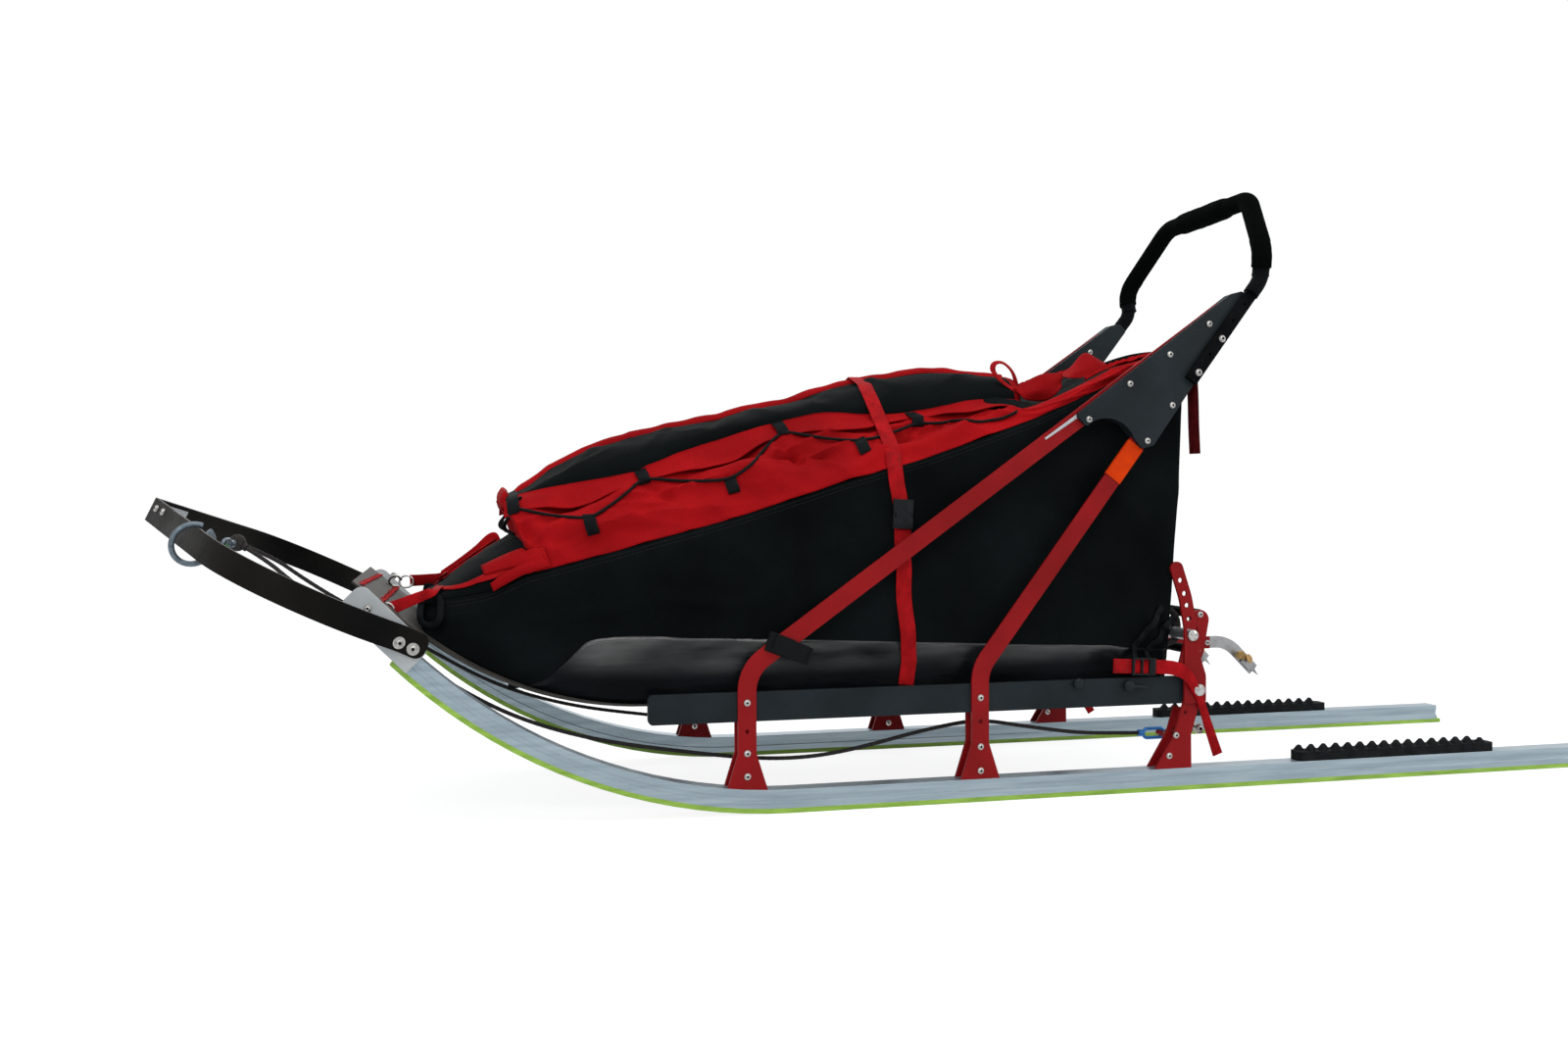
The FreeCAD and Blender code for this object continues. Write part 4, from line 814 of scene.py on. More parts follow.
def folded(x, z, folds):
    """Height of the single folds of a table."""
    total = 0.0
    for ax, az, bx, bz, depth, wide in folds:
        long = (bx - ax) ** 2 + (bz - az) ** 2
        t = max(0.0, min(1.0, ((x - ax) * (bx - ax) + (z - az) * (bz - az)) / long))
        away = math.hypot(x - ax - t * (bx - ax), z - az - t * (bz - az))
        if away < 4 * wide:
            total += depth * math.exp(-(away / wide) ** 2) * (1.0 - 0.7 * (2 * t - 1) ** 2)
    return total


def arch(t):
    """From 0 up to 1 and back to 0."""
    return math.sin(math.pi * t)


def side_point(x, v, side=1.0):
    """A place on the side panel; v runs from the bottom edge to the seam."""
    low = bed_top(x) + bed_gap
    high = at_x(seam_line, x - lean(x, at_x(seam_line, x)))
    tall = high - low
    z = low + tall * v
    belly = max(0.0, arch(v))
    y = at_x(half_width, x) * (1.0 - 0.07 * v) + 0.010 * belly * min(1.0, tall / 0.3)
    tension = 0.0045 * noise.noise(Vector((x * 5.0 + v * 2.2, v * 2.0 * tall / 0.3, 3.1)))
    ripple = 0.0034 * crease(x + 0.35 * v, z - 0.35 * x, 7.3, 3.0, 7.0, 3.0)
    y += (tension + ripple + folded(x, z, side_folds)) * belly ** 0.7
    return Vector((x - lean(x, z), side * y, z))


def spread(first, last, count):
    """Values at even steps."""
    return [first + (last - first) * i / (count - 1) for i in range(count)]


def sheet_of(point_at, us, vs, kind_at=None):
    """Corners, faces and finish numbers of a grid; each way is a list or a first value, a last one and a count."""
    us, vs = (spread(*way) if isinstance(way, tuple) else way for way in (us, vs))
    verts = [point_at(u, v) for u in us for v in vs]
    n = len(vs)
    faces, kinds = [], []
    for i in range(len(us) - 1):
        for k in range(n - 1):
            faces.append((i * n + k, (i + 1) * n + k, (i + 1) * n + k + 1, i * n + k + 1))
            kinds.append(kind_at((us[i] + us[i + 1]) / 2, (vs[k] + vs[k + 1]) / 2) if kind_at else 0)
    return verts, faces, kinds


sides = (("left", 1.0), ("right", -1.0))
nylon_thick, collar_thick, vinyl_thick, lid_thick = 0.0016, 0.0014, 0.0012, 0.0018
bag_skin = []


def cloth(name, grid, finishes, thickness, stands_for=None, lies_on_it=True):
    """A sewn panel with the thickness of its cloth."""
    panel = piece(name, [grid], finishes)
    solid = panel.modifiers.new("cloth_thickness", "SOLIDIFY")
    solid.thickness = thickness
    solid.offset = 0.0
    if stands_for:
        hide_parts(stands_for)
    if lies_on_it:
        bag_skin.append(grid)


for side, sign in sides:
    grid = sheet_of(lambda x, v: side_point(x, v, sign), (nose_x, tail_x, 190), (0.0, 1.0, 48))
    cloth("bag_side_panel_" + side, grid, [black_cloth], nylon_thick,
          "bag_side_" + side)

# Load bag: bottom band
# Glossy vinyl is welded over the lower side where it rubs on the rail.
# It puffs out a little between its edges.

band_front = 0.745
band_top = [(band_front, 0.205), (0.69, 0.218), (0.65, 0.252), (0.6215, 0.280), (0.55, 0.286), (0.4655, 0.281),
            (0.1375, 0.267), (-0.2705, 0.247), (tail_x, 0.238)]


def band_point(x, v, side):
    """A place on the glossy band; v runs up."""
    low = bed_top(x) + bed_gap
    high = at_x(seam_line, x)
    top = min(at_x(band_top, x), high - 0.01)
    puff = 0.0016 + 0.0024 * arch(v) + 0.0016 * noise.noise(Vector((x * 12.0, v * 3.0, 1.7)))
    return side_point(x, (top - low) * v / (high - low), side) + Vector((0.0, side * puff, 0.0))


for side, sign in sides:
    grid = sheet_of(lambda x, v: band_point(x, v, sign), (band_front, tail_x + 0.004, 160), (0.0, 1.0, 14))
    cloth("bag_bottom_band_" + side, grid, [vinyl], vinyl_thick)

# Load bag: collar
# The red collar is gathered up from the seam and tucked under the lid's border.
# Behind the lid it is only a narrow band; in front it closes the mouth over the nose cover.

lid_edge = [(0.745, 0.503), (0.7178, 0.5121), (0.6503, 0.5255), (0.5899, 0.536), (0.5288, 0.549), (0.5123, 0.5592),
            (0.4669, 0.5757), (0.4042, 0.5978), (0.3365, 0.622), (0.2894, 0.6348), (0.2549, 0.6422),
            (0.2159, 0.6485), (0.1809, 0.6490), (0.1369, 0.6475), (0.0296, 0.6542), (-0.0158, 0.6646),
            (-0.0616, 0.6746), (-0.1078, 0.6774), (-0.1613, 0.676)]
collar_top = [(0.745, 0.499), (0.7178, 0.508), (0.6503, 0.5215), (0.5899, 0.532), (0.5288, 0.546), (0.4669, 0.571),
              (0.4042, 0.593), (0.3365, 0.618), (0.2894, 0.630), (0.2159, 0.644), (0.1369, 0.643), (0.0296, 0.650),
              (-0.0158, 0.658), (-0.0616, 0.662), (-0.1078, 0.658), (-0.1291, 0.6584), (-0.1654, 0.6693),
              (-0.2112, 0.689), (-0.2573, 0.7109), (-0.3039, 0.7331), (-0.3461, 0.7446), (-0.4315, 0.766)]
collar_half = [(0.745, 0.106), (0.60, 0.112), (-0.02, 0.114), (-0.09, 0.150), (-0.15, 0.192), (-0.4315, 0.192)]
collar_folds = [(0.422, 0.555, 0.322, 0.590, -0.016, 0.012), (0.440, 0.540, 0.350, 0.560, 0.010, 0.011),
                (0.322, 0.5735, 0.200, 0.577, -0.009, 0.009), (0.380, 0.5399, 0.250, 0.548, 0.006, 0.012),
                (0.6777, 0.480, 0.600, 0.512, -0.012, 0.011), (0.600, 0.490, 0.530, 0.530, 0.008, 0.012),
                (0.700, 0.448, 0.560, 0.474, 0.007, 0.013), (0.660, 0.430, 0.480, 0.468, -0.005, 0.010),
                (0.500, 0.470, 0.360, 0.500, 0.006, 0.013), (0.420, 0.487, 0.240, 0.520, -0.005, 0.010),
                (0.240, 0.530, 0.120, 0.575, 0.006, 0.014), (0.140, 0.600, 0.020, 0.622, -0.008, 0.010),
                (0.080, 0.585, -0.050, 0.622, 0.006, 0.012), (0.0115, 0.632, -0.090, 0.656, -0.010, 0.010),
                (0.7227, 0.470, 0.690, 0.420, -0.008, 0.010), (0.300, 0.600, 0.255, 0.560, -0.007, 0.009),
                (0.520, 0.530, 0.470, 0.500, -0.006, 0.009), (0.060, 0.628, 0.100, 0.600, -0.006, 0.009)]


def collar_base(x, v):
    """A place on the smooth left collar, its outward direction and the collar's width; v runs up."""
    seam = side_point(x, 1.0)
    top = Vector((seam.x, at_x(collar_half, seam.x), max(at_x(collar_top, seam.x), seam.z + 0.012)))
    rise = top - seam
    out = Vector((0.0, rise.z, -rise.y)).normalized()
    hump = 0.012 * arch(v) * min(1.0, rise.length / 0.12)
    return seam + rise * v + out * hump, out, rise.length


def collar_point(x, v, side=1.0):
    """A place on the creased collar; v runs from the seam to the upper edge."""
    place, out, wide = collar_base(x, v)
    folds = folded(place.x, place.z, collar_folds) * 1.9
    folds += 0.0105 * crease(x + v * 0.10, v * wide, 11.9, 5.5, 24.0, 2.0)
    folds += 0.0080 * crease(x - v * 0.16, v * wide, 4.4, 13.0, 14.0, 2.0)
    folds += 0.0025 * noise.noise(Vector((x * 30.0, v * 5.0, 2.0)))
    place = place + out * (folds * max(0.0, arch(min(1.0, v + 0.05))) ** 0.8 * min(1.0, wide / 0.05))
    return Vector((place.x, side * place.y, place.z))


mouth_x, mouth_slope = 0.702, 0.047


def collar_front(v):
    """Where the collar's front edge stands; it slopes back as it goes down to the seam."""
    return mouth_x + mouth_slope * v ** 1.2


def collar_cloth(u, v, side):
    """A place on the collar; u runs from the front edge to the tail."""
    ahead = collar_front(v)
    return collar_point(ahead + (tail_x - ahead) * u, v, side)


def mouth_point(t, v):
    """A place on the collar's front wall; t runs from the right edge to the left one."""
    edge = collar_point(collar_front(v), v)
    bow = 1.0 - t * t
    pleat = 0.004 * crease(t * 0.5, v * 0.2, 6.1, 9.0, 9.0)
    return Vector((edge.x + (0.016 - 0.012 * v + pleat) * bow ** 0.6, edge.y * t, edge.z + (0.010 - 0.006 * v) * bow))


for side, sign in sides:
    grid = sheet_of(lambda u, v: collar_cloth(u, v, sign), (0.0, 1.0, 300), (0.0, 1.0, 40))
    cloth("bag_collar_" + side, grid, [red_cloth], collar_thick,
          "bag_skirt_" + side)
cloth("bag_mouth_wall", sheet_of(mouth_point, (-1.0, 1.0, 70), (0.0, 1.0, 30)), [red_cloth], collar_thick)

# Load bag: nose cover
# A black cover is sewn over the nose end, in front of the red mouth.
# A low wall closes the bag under the cover's front edge.

nose_rise = [(nose_x, 0.350), (0.845, 0.367), (0.81, 0.394), (0.775, 0.418), (0.740, 0.442), (0.705, 0.462)]


def nose_point(x, v):
    """A place on the nose cover; v runs from the left seam over the middle to the right seam."""
    seam = side_point(x, 1.0)
    y = seam.y * math.cos(math.pi * v)
    rise = max(0.004, at_x(nose_rise, x) - seam.z)
    z = seam.z + rise * max(0.0, arch(v)) ** 0.75
    return Vector((x, y, z + 0.003 * crease(x, abs(y), 5.0, 18.0, 9.0) * arch(v)))


def nose_wall_point(u, v):
    """A place on the closed end; u runs across and v up."""
    edge = nose_point(nose_x, u)
    low = bed_top(nose_x) + 0.001
    return Vector((nose_x + 0.006 * arch(v), edge.y, low + (edge.z - low) * v))


cloth("bag_nose_cover", sheet_of(nose_point, (nose_x, 0.700, 50), (0.0, 1.0, 80)), [black_cloth], nylon_thick,
      "bag_front")
cloth("bag_nose_wall", sheet_of(nose_wall_point, (0.0, 1.0, 48), (0.0, 1.0, 10)), [black_cloth], nylon_thick)

# Load bag: lid
# The black lid has a red border that hangs over the collar, held down by the lacing's tabs.
# A red flap runs along its middle over the zip, and its front end is rolled up.

ridge_line = [(0.745, 0.507), (0.7205, 0.5145), (0.6661, 0.5508), (0.5985, 0.5853), (0.5302, 0.6065),
              (0.4696, 0.6235), (0.3996, 0.636), (0.3553, 0.6485), (0.2928, 0.6645), (0.2477, 0.6725),
              (0.2021, 0.6855), (0.1331, 0.704), (0.0538, 0.7225), (-0.0123, 0.7297), (-0.0889, 0.728),
              (-0.1519, 0.7245)]
# Each tab is its top and its lower end, along the sled and up.
upper_tabs = [((0.7321, 0.5195), (0.7304, 0.4811)), ((0.5246, 0.5548), (0.5186, 0.5315)),
              ((0.2908, 0.6375), (0.2823, 0.6125)), ((0.0500, 0.6530), (0.0489, 0.6290))]
lower_tabs = [((0.6160, 0.4790), (0.6083, 0.4511)), ((0.3847, 0.5420), (0.3786, 0.5156)),
              ((0.1615, 0.6058), (0.1551, 0.5812))]
lid_folds = [(0.52, 0.12, 0.46, 0.02, 0.004, 0.012), (0.29, 0.12, 0.33, 0.02, 0.005, 0.013),
             (0.05, 0.12, 0.11, 0.01, 0.005, 0.014), (0.14, 0.10, 0.08, 0.00, 0.004, 0.011),
             (0.64, 0.10, 0.58, 0.01, 0.004, 0.012), (0.40, 0.11, 0.37, 0.00, -0.004, 0.014),
             (-0.02, 0.11, -0.10, 0.03, 0.004, 0.012), (0.20, 0.11, 0.21, 0.02, -0.004, 0.015)]
lid_front, lid_rear = 0.747, -0.156
lid_half, lid_taper = 0.120, 0.035
black_share = 0.70
last_tucked = -0.055


def tab_away(x):
    """How far the nearest upper tab is."""
    return min(abs(x - low[0]) for top, low in upper_tabs)


def border_hang(x):
    """How far the border hangs: short where a tab holds it, longer between the tabs."""
    return 0.030 + 0.022 * min(1.0, tab_away(x) / 0.09) + 0.004 * noise.noise(Vector((x * 11.0, 0.3, 4.0)))


def lid_point(x, v):
    """A place on the lid; v from -1 at the right hem to 1 at the left one."""
    side = 1.0 if v >= 0 else -1.0
    reach = abs(v)
    edge = at_x(lid_edge, x)
    half = lid_half - lid_taper * max(0.0, (x - 0.60) / 0.148) ** 1.5
    if reach <= black_share:
        turn = reach / black_share * math.pi / 2
        y = half * math.sin(turn)
        z = edge + (at_x(ridge_line, x) - edge) * max(0.0, math.cos(turn)) ** 0.9
        z += folded(x, y, lid_folds) * math.cos(turn)
        z += 0.003 * noise.noise(Vector((x * 9.0, y * 14.0, 8.8))) + 0.003 * crease(x, y, 2.6, 7.0, 16.0)
        return Vector((x, side * y, z + 0.002))
    drop = (reach - black_share) / (1 - black_share)
    held = max(x, last_tucked)
    held_edge = at_x(lid_edge, held)
    start = min(held + lean(held, held_edge), collar_front(1.0))
    base, out, wide = collar_base(start, 1.0 - border_hang(x) * drop / 0.15)
    base = base + Vector((0.0, 0.0, edge - held_edge))
    wave = 0.5 + 0.5 * noise.noise(Vector((x * 17.0, 2.0, 9.0)))
    lift = 0.006 + drop * 0.012 * wave * min(1.0, tab_away(x) / 0.05) + folded(x, base.z, collar_folds) * 0.6
    place = base + out * lift
    place = Vector((x, half, edge + 0.002)).lerp(Vector((x, place.y, place.z)), min(1.0, drop * 3.0))
    return Vector((place.x, side * place.y, place.z))


def lid_kind(x, v):
    """The border is red, and so are both ends."""
    return 1 if abs(v) > black_share or x > lid_front - 0.012 or x < lid_rear + 0.010 else 0


def flap_point(x, v):
    """A place on the flap over the zip; v runs over it from side to side."""
    half = 0.0145 * (1.0 + 0.22 * noise.noise(Vector((x * 21.0, 0.0, 5.0))))
    uneven = 1.0 + 0.25 * noise.noise(Vector((x * 26.0, 3.0, 1.0)))
    rise = 0.0125 * uneven * min(1.0, 0.2 + (lid_front - x) / 0.04)
    sway = 0.003 * noise.noise(Vector((x * 9.0, 7.0, 1.0)))
    return Vector((x, half * math.cos(math.pi * v) + sway, lid_point(x, 0.0).z - 0.002 + rise * arch(v)))


def roll_point(u, v):
    """A place on the rolled front end; u runs from its right end to its left one, v round it."""
    turn = 2 * math.pi * v
    end = max(0.0, 1.0 - abs(2 * u - 1.0) ** 14) ** 0.5
    grow = end * (1.0 + 0.10 * noise.noise(Vector((u * 12.0, math.cos(turn), math.sin(turn)))))
    return Vector((0.7445 + 0.0085 * grow * math.cos(turn), 0.098 * (2 * u - 1.0),
                   0.5020 + 0.006 * arch(u) + 0.0180 * grow * math.sin(turn)))


lid_shares = sorted({-black_share, black_share, *spread(-1.0, 1.0, 81)})
cloth("bag_lid_cloth", sheet_of(lid_point, (lid_front, lid_rear, 260), lid_shares, lid_kind),
      [black_cloth, red_cloth], lid_thick,
      "bag_lid")
cloth("bag_ridge_flap", sheet_of(flap_point, (lid_front - 0.004, lid_rear - 0.012, 220), (0.0, 1.0, 14)),
      [red_cloth], collar_thick)
roll_ways = [0.5 + 0.5 * math.sin(math.pi * (i / 59 - 0.5)) for i in range(60)]
piece("bag_lid_roll", [sheet_of(roll_point, roll_ways, (0.0, 1.0, 25))], red_cloth)

# Load bag: rear panel and rear cover
# The rear panel stands up behind the load, laced to the gussets.
# A slack black cover runs from it down under the lid.

rear_low, rear_high, rear_half = 0.1795, 0.757, 0.213
valley = [(-0.09, 0.706), (-0.135, 0.690), (-0.17, 0.672), (-0.205, 0.674), (-0.245, 0.694), (-0.285, 0.716),
          (-0.315, 0.728), (-0.37, 0.742), (-0.41, 0.754), (-0.4315, 0.766)]


def rear_point(u, v):
    """A place on the rear panel; u across, v up."""
    crown = math.cos(math.pi * u / 2)
    z = rear_low + (rear_high + 0.012 * crown - rear_low) * v
    shoulder = max(0.0, (v - 0.93) / 0.07)
    y = rear_half * (1.0 - 0.07 * min(1.0, v * 1.05)) * (1.0 - 0.14 * shoulder) * u
    bow = crown * arch(v)
    dent = 0.006 * noise.noise(Vector((abs(y) * 6.0, z * 6.0, 3.0))) - 0.010 * bow
    dent -= 0.005 * crease(abs(y), z, 8.0, 5.0, 4.0, 2.0) * bow
    return Vector((tail_x - lean(tail_x, z) + dent - 0.001, y, z))


def cover_point(x, t):
    """A place on the rear cover; t runs from the right band to the left one."""
    half = at_x(collar_half, x) + 0.004
    edge = at_x(collar_top, x) - 0.002
    share = 1.0 - abs(t) ** 2.6
    z = edge + (at_x(valley, x) - edge) * share
    return Vector((x, half * t, z + (0.006 * crease(x, t * half, 3.3, 14.0, 16.0) - 0.003) * share))


cloth("bag_rear_panel", sheet_of(rear_point, (-1.0, 1.0, 70), (0.0, 1.0, 80)), [black_cloth], nylon_thick,
      "bag_rear")
cloth("bag_rear_cover", sheet_of(cover_point, (-0.085, -0.4305, 80), (-1.0, 1.0, 60)), [black_cloth], nylon_thick)

# Load bag: lacing
# A black elastic cord zigzags between loops of webbing on the border and on the collar.
# What lies on the bag takes its place from the sewn skin.

corners, skin_faces = [], []
for verts, faces, kinds in bag_skin:
    skin_faces += [tuple(i + len(corners) for i in face) for face in faces]
    corners += verts
skin = BVHTree.FromPolygons(corners, skin_faces)


def on_bag(x, z, side=1.0, lift=0.0):
    """The place and outward direction on the bag's side at a length and a height."""
    place, normal, face, away = skin.ray_cast(Vector((x, side, z)), Vector((0.0, -side, 0.0)))
    if place is None:
        place, normal, face, away = skin.find_nearest(Vector((x, side * 0.12, z)))
    if normal.y * side < 0:
        normal = -normal
    return place + normal * lift, normal


def eased(places, count):
    """More places along a run of them, on a smooth line through each."""
    made = []
    for i in range(count):
        t = (len(places) - 1) * i / (count - 1)
        k = min(int(t), len(places) - 2)
        four = [Vector(places[max(0, min(len(places) - 1, k + j))]) for j in (-1, 0, 1, 2)]
        made.append(between(*four, t - k))
    return made


def ribbon(line, outward, width, thick=0.0016):
    """Webbing along a line, with the way that its face looks and its width, each one for all or one by one."""
    verts = []
    for i, place in enumerate(line):
        ahead = heading(line, i).normalized()
        out = outward[i] if isinstance(outward, list) else outward
        out = (out - ahead * out.dot(ahead)).normalized()
        across = ahead.cross(out)
        half = (width[i] if isinstance(width, list) else width) / 2
        soft = min(thick * 0.5, half * 0.4)
        for a, b in ((-half, 0.3), (-half, 0.7), (-half + soft, 1.0), (half - soft, 1.0), (half, 0.7), (half, 0.3),
                     (half - soft, 0.0), (-half + soft, 0.0)):
            verts.append(place + across * a + out * (thick * b))
    return verts, ring_faces(len(line), 8)


def laid(places, side, lift, count):
    """Places on the bag's side along a smooth run, and the outward direction at each."""
    spots = [on_bag(p.x, p.y, side, lift) for p in eased(places, count)]
    return [place for place, out in spots], [out for place, out in spots]


web_weave = (0.0011, 0.6, 0.0005)
black_web = finish("black_webbing", (0.0026, 0.0032, 0.0036), (0.0070, 0.0082, 0.0090), (60.0, 4.0), 0.75,
                   specular=0.07, weave=web_weave)
lace_finish = finish("black_elastic_cord", (0.0022, 0.0024, 0.0026), (0.0080, 0.0085, 0.0090), (900.0, 2.0), 0.72,
                     specular=0.08, bump=(0.4, 0.0003, 2400.0, 2.0))
lace_radius, lace_lift, lace_sag, lace_steps = 0.0026, 0.0028, 0.0042, 14
loop_lift = 0.004
tab_wide, tab_thick = 0.020, 0.0022
lace_section = circle(lace_radius)
lace_places = [(0.7290, 0.490), (0.612, 0.4735), (0.5205, 0.538), (0.3825, 0.5365), (0.2845, 0.6185),
               (0.1600, 0.600), (0.0495, 0.635), (-0.0174, 0.6370), (-0.0681, 0.6360), (-0.118, 0.652)]


def tab(top, low, side):
    """A loop of webbing sewn to the cloth, with the cord through its lower end."""
    spots, outs = laid((top, low), side, 0.0, 12)
    line = [place + out * (0.0015 + 0.0045 * max(0.0, arch((i / 11 - 0.25) / 0.75)) ** 0.6 * (i > 2))
            for i, (place, out) in enumerate(zip(spots, outs))]
    return ribbon(line, outs, tab_wide, tab_thick)


def kept_outside(spot, side, lift):
    """The same place, or the cloth's where that stands farther out."""
    ground = on_bag(spot.x, spot.z, side, lift)[0]
    return Vector((spot.x, side * max(abs(spot.y), abs(ground.y)), spot.z))


def lace_through(places, side):
    """The cord pulled straight from loop to loop, lifted where the cloth bulges."""
    line = []
    for first, last in zip(places, places[1:]):
        first, last = on_bag(*first, side, loop_lift)[0], on_bag(*last, side, loop_lift)[0]
        for k in range(lace_steps):
            sag = Vector((0.0, 0.0, lace_sag * arch(k / lace_steps)))
            line.append(kept_outside(first.lerp(last, k / lace_steps) - sag, side, lace_radius))
    for turn in range(4):
        inner = [(a + b * 2 + c) / 4 for a, b, c in zip(line, line[1:], line[2:])]
        line = [kept_outside(p, side, lace_lift) for p in (line[0], *inner, line[-1])]
    return line


tabs, laces = [], []
for sign in (1.0, -1.0):
    tabs += [tab(top, low, sign) for top, low in upper_tabs + lower_tabs]
    laces.append(swept(lace_through(lace_places, sign), lace_section))
    for reach, deep in ((0.100, 0.0), (0.094, 0.003)):
        front = [on_bag(*lace_places[0], sign, loop_lift)[0], (0.7385, reach * sign, 0.4760),
                 (0.7470 - deep, (reach - 0.004) * sign, 0.4640), (0.7450 - deep, (reach - 0.008) * sign, 0.4555),
                 on_bag(0.7280, 0.4485, sign, 0.002)[0]]
        laces.append(swept(eased(front, 24), lace_section))
piece("bag_lace_loops", tabs, black_web)
piece("bag_lacing", laces, lace_finish)

# Load bag: compression strap
# Red webbing is pulled over the load from rail to rail and closed by a black buckle on each side.
# It spans the hollows between the ridge and the collar, and hangs a little slack under each buckle.

red_web = finish("red_webbing", (0.28, 0.003, 0.005), (0.40, 0.005, 0.0075), (60.0, 4.0), 0.72, specular=0.08,
                 weave=web_weave)
buckle_plastic = finish("buckle_plastic", (0.0035, 0.0045, 0.0055), (0.0085, 0.0105, 0.0120), (120.0, 3.0), 0.46,
                        specular=0.12, wear=(0.0005, (0.04, 0.042, 0.045), 0.5))
# Each pair is a height and the strap's place along the sled there.
strap_run = [(0.716, 0.1150), (0.690, 0.1190), (0.648, 0.1160), (0.596, 0.1110), (0.536, 0.1085), (0.502, 0.1035),
             (0.464, 0.0997), (0.410, 0.0985), (0.375, 0.0985), (0.339, 0.1060), (0.305, 0.1075), (0.272, 0.0930),
             (0.248, 0.0915), (0.196, 0.0975)]
strap_foot = 0.196
strap_wide, doubled_wide = 0.0265, 0.0262
strap_lift, doubled_lift, buckle_lift = 0.0018, 0.0038, 0.0075
buckle_height = 0.478
slack_low, slack_high, slack_peak, slack_long, slack_out = 0.235, 0.435, 0.285, 0.10, 0.0035
spots = [on_bag(at_x(strap_run, z), z)[0] for z in [strap_foot + 0.008 * i for i in range(60)]]
for y in spread(0.11, 0.0, 12):
    place, normal, face, away = skin.ray_cast(Vector((at_x(strap_run, 0.71), y, 1.5)), Vector((0.0, 0.0, -1.0)))
    spots.append(place)
taut = []
for y, z in sorted({(round(p.y, 5), round(p.z, 5)) for p in spots}):
    while len(taut) > 1 and ((taut[-1][0] - taut[-2][0]) * (z - taut[-2][1])
                             - (taut[-1][1] - taut[-2][1]) * (y - taut[-2][0])) >= 0:
        taut.pop()
    taut.append((y, z))
taut = [spot for spot in taut if spot[1] >= strap_foot]
widest = max(taut)
lower_side = [on_bag(at_x(strap_run, z), z)[0] for z in spread(widest[1] - 0.012, strap_foot, 24)]
taut += [(p.y, p.z) for p in lower_side]
half_line = evenly([Vector((at_x(strap_run, z), y, z)) for y, z in taut], 0.008)
strap_line = [Vector((p.x, -p.y, p.z)) for p in reversed(half_line)] + half_line[1:]
ways = [heading(strap_line, i) for i in range(len(strap_line))]
facing = [Vector((0.0, -way.z, way.y)).normalized() for way in ways]


def slack(z):
    """How far the strap stands off below the buckle, where it isn't pulled tight."""
    if not slack_low < z < slack_high:
        return 0.0
    return (slack_out * (1.0 + math.cos(2 * math.pi * (z - slack_peak) / slack_long))
            * min(1.0, (slack_high - z) / 0.03, (z - slack_low) / 0.03))


strap_parts = [ribbon([place + out * (strap_lift + slack(place.z)) for place, out in zip(strap_line, facing)],
                      facing, strap_wide)]
buckle_parts = []
for sign in (1.0, -1.0):
    for heights in ((0.572, 0.550, 0.525, 0.500), (0.452, 0.442, 0.430, 0.415)):
        doubled = laid([(at_x(strap_run, z), z) for z in heights], sign, doubled_lift, 24)
        strap_parts.append(ribbon(*doubled, doubled_wide))
    place, out = on_bag(at_x(strap_run, buckle_height), buckle_height, sign)
    down = Vector((0.05, 0.0, -1.0)).normalized()
    down = (down - out * down.dot(out)).normalized()
    middle = place + out * buckle_lift
    for shift, long, wide, thick in ((-0.0115, 0.020, 0.0345, 0.0085), (0.0005, 0.022, 0.0255, 0.0090),
                                     (0.0135, 0.014, 0.0345, 0.0085), (-0.0225, 0.005, 0.0350, 0.0060),
                                     (0.0215, 0.005, 0.0350, 0.0060)):
        buckle_parts.append(block(middle + down * shift, down, out, long, wide, thick, 0.0018))
    for aside in (-0.0150, 0.0150):
        buckle_parts.append(block(middle + down * 0.003 + down.cross(out) * aside, down, out, 0.012, 0.0040, 0.0050,
                                  0.0014))
piece("compression_strap", strap_parts, red_web)
piece("strap_buckles", buckle_parts, buckle_plastic)

# Load bag: nose straps and flaps
# Red webbing holds the bag's nose down to rings at the bow, and loose red flaps end the collar there.
# A loop of black webbing on each side of the nose serves as a handle.

near_strap = [(0.8560, 0.3590), (0.8466, 0.3608), (0.8124, 0.3670), (0.7822, 0.3785), (0.754, 0.3890),
              (0.7213, 0.4040), (0.6838, 0.4200)]
far_strap = [(0.8453, 0.3680), (0.8104, 0.3900), (0.7752, 0.4130), (0.7500, 0.4290)]
far_tops = eased([(0.850, 0.376), (0.820, 0.397), (0.790, 0.420), (0.766, 0.442), (0.750, 0.444), (0.741, 0.425)], 20)
handle_loop = [(0.8757, 0.350), (0.8790, 0.3306), (0.8761, 0.3132), (0.8593, 0.3085), (0.8487, 0.3212),
               (0.8485, 0.3473), (0.8590, 0.3540)]


def laid_flap(upper, lower, side, lift):
    """A flap of cloth that lies on the bag's side between two edges."""
    tops, lows = eased(upper, 14), eased(lower, 14)

    def at(u, v):
        """A place on the flap."""
        spot = tops[round(u * 13)].lerp(lows[round(u * 13)], v)
        return on_bag(spot.x, spot.y, side, lift + 0.003 * arch(v) * arch(u))[0]

    return sheet_of(at, (0.0, 1.0, 14), (0.0, 1.0, 8))


def far_flap_point(u, v):
    """A place on the loose flap that stands up on the right side; v runs down from its upper edge."""
    top = far_tops[round(u * 19)]
    return Vector((top.x + 0.012 * v, -0.176 + 0.020 * v * v - 0.006 * arch(u), top.y - 0.042 * v))


def wire(places, radius, closed=False, count=0):
    """Bent wire through places; a closed one joins its ends."""
    line = places + [places[0]] if closed else places
    return swept(eased(line, count or 8 * len(line)), circle(radius), closed)


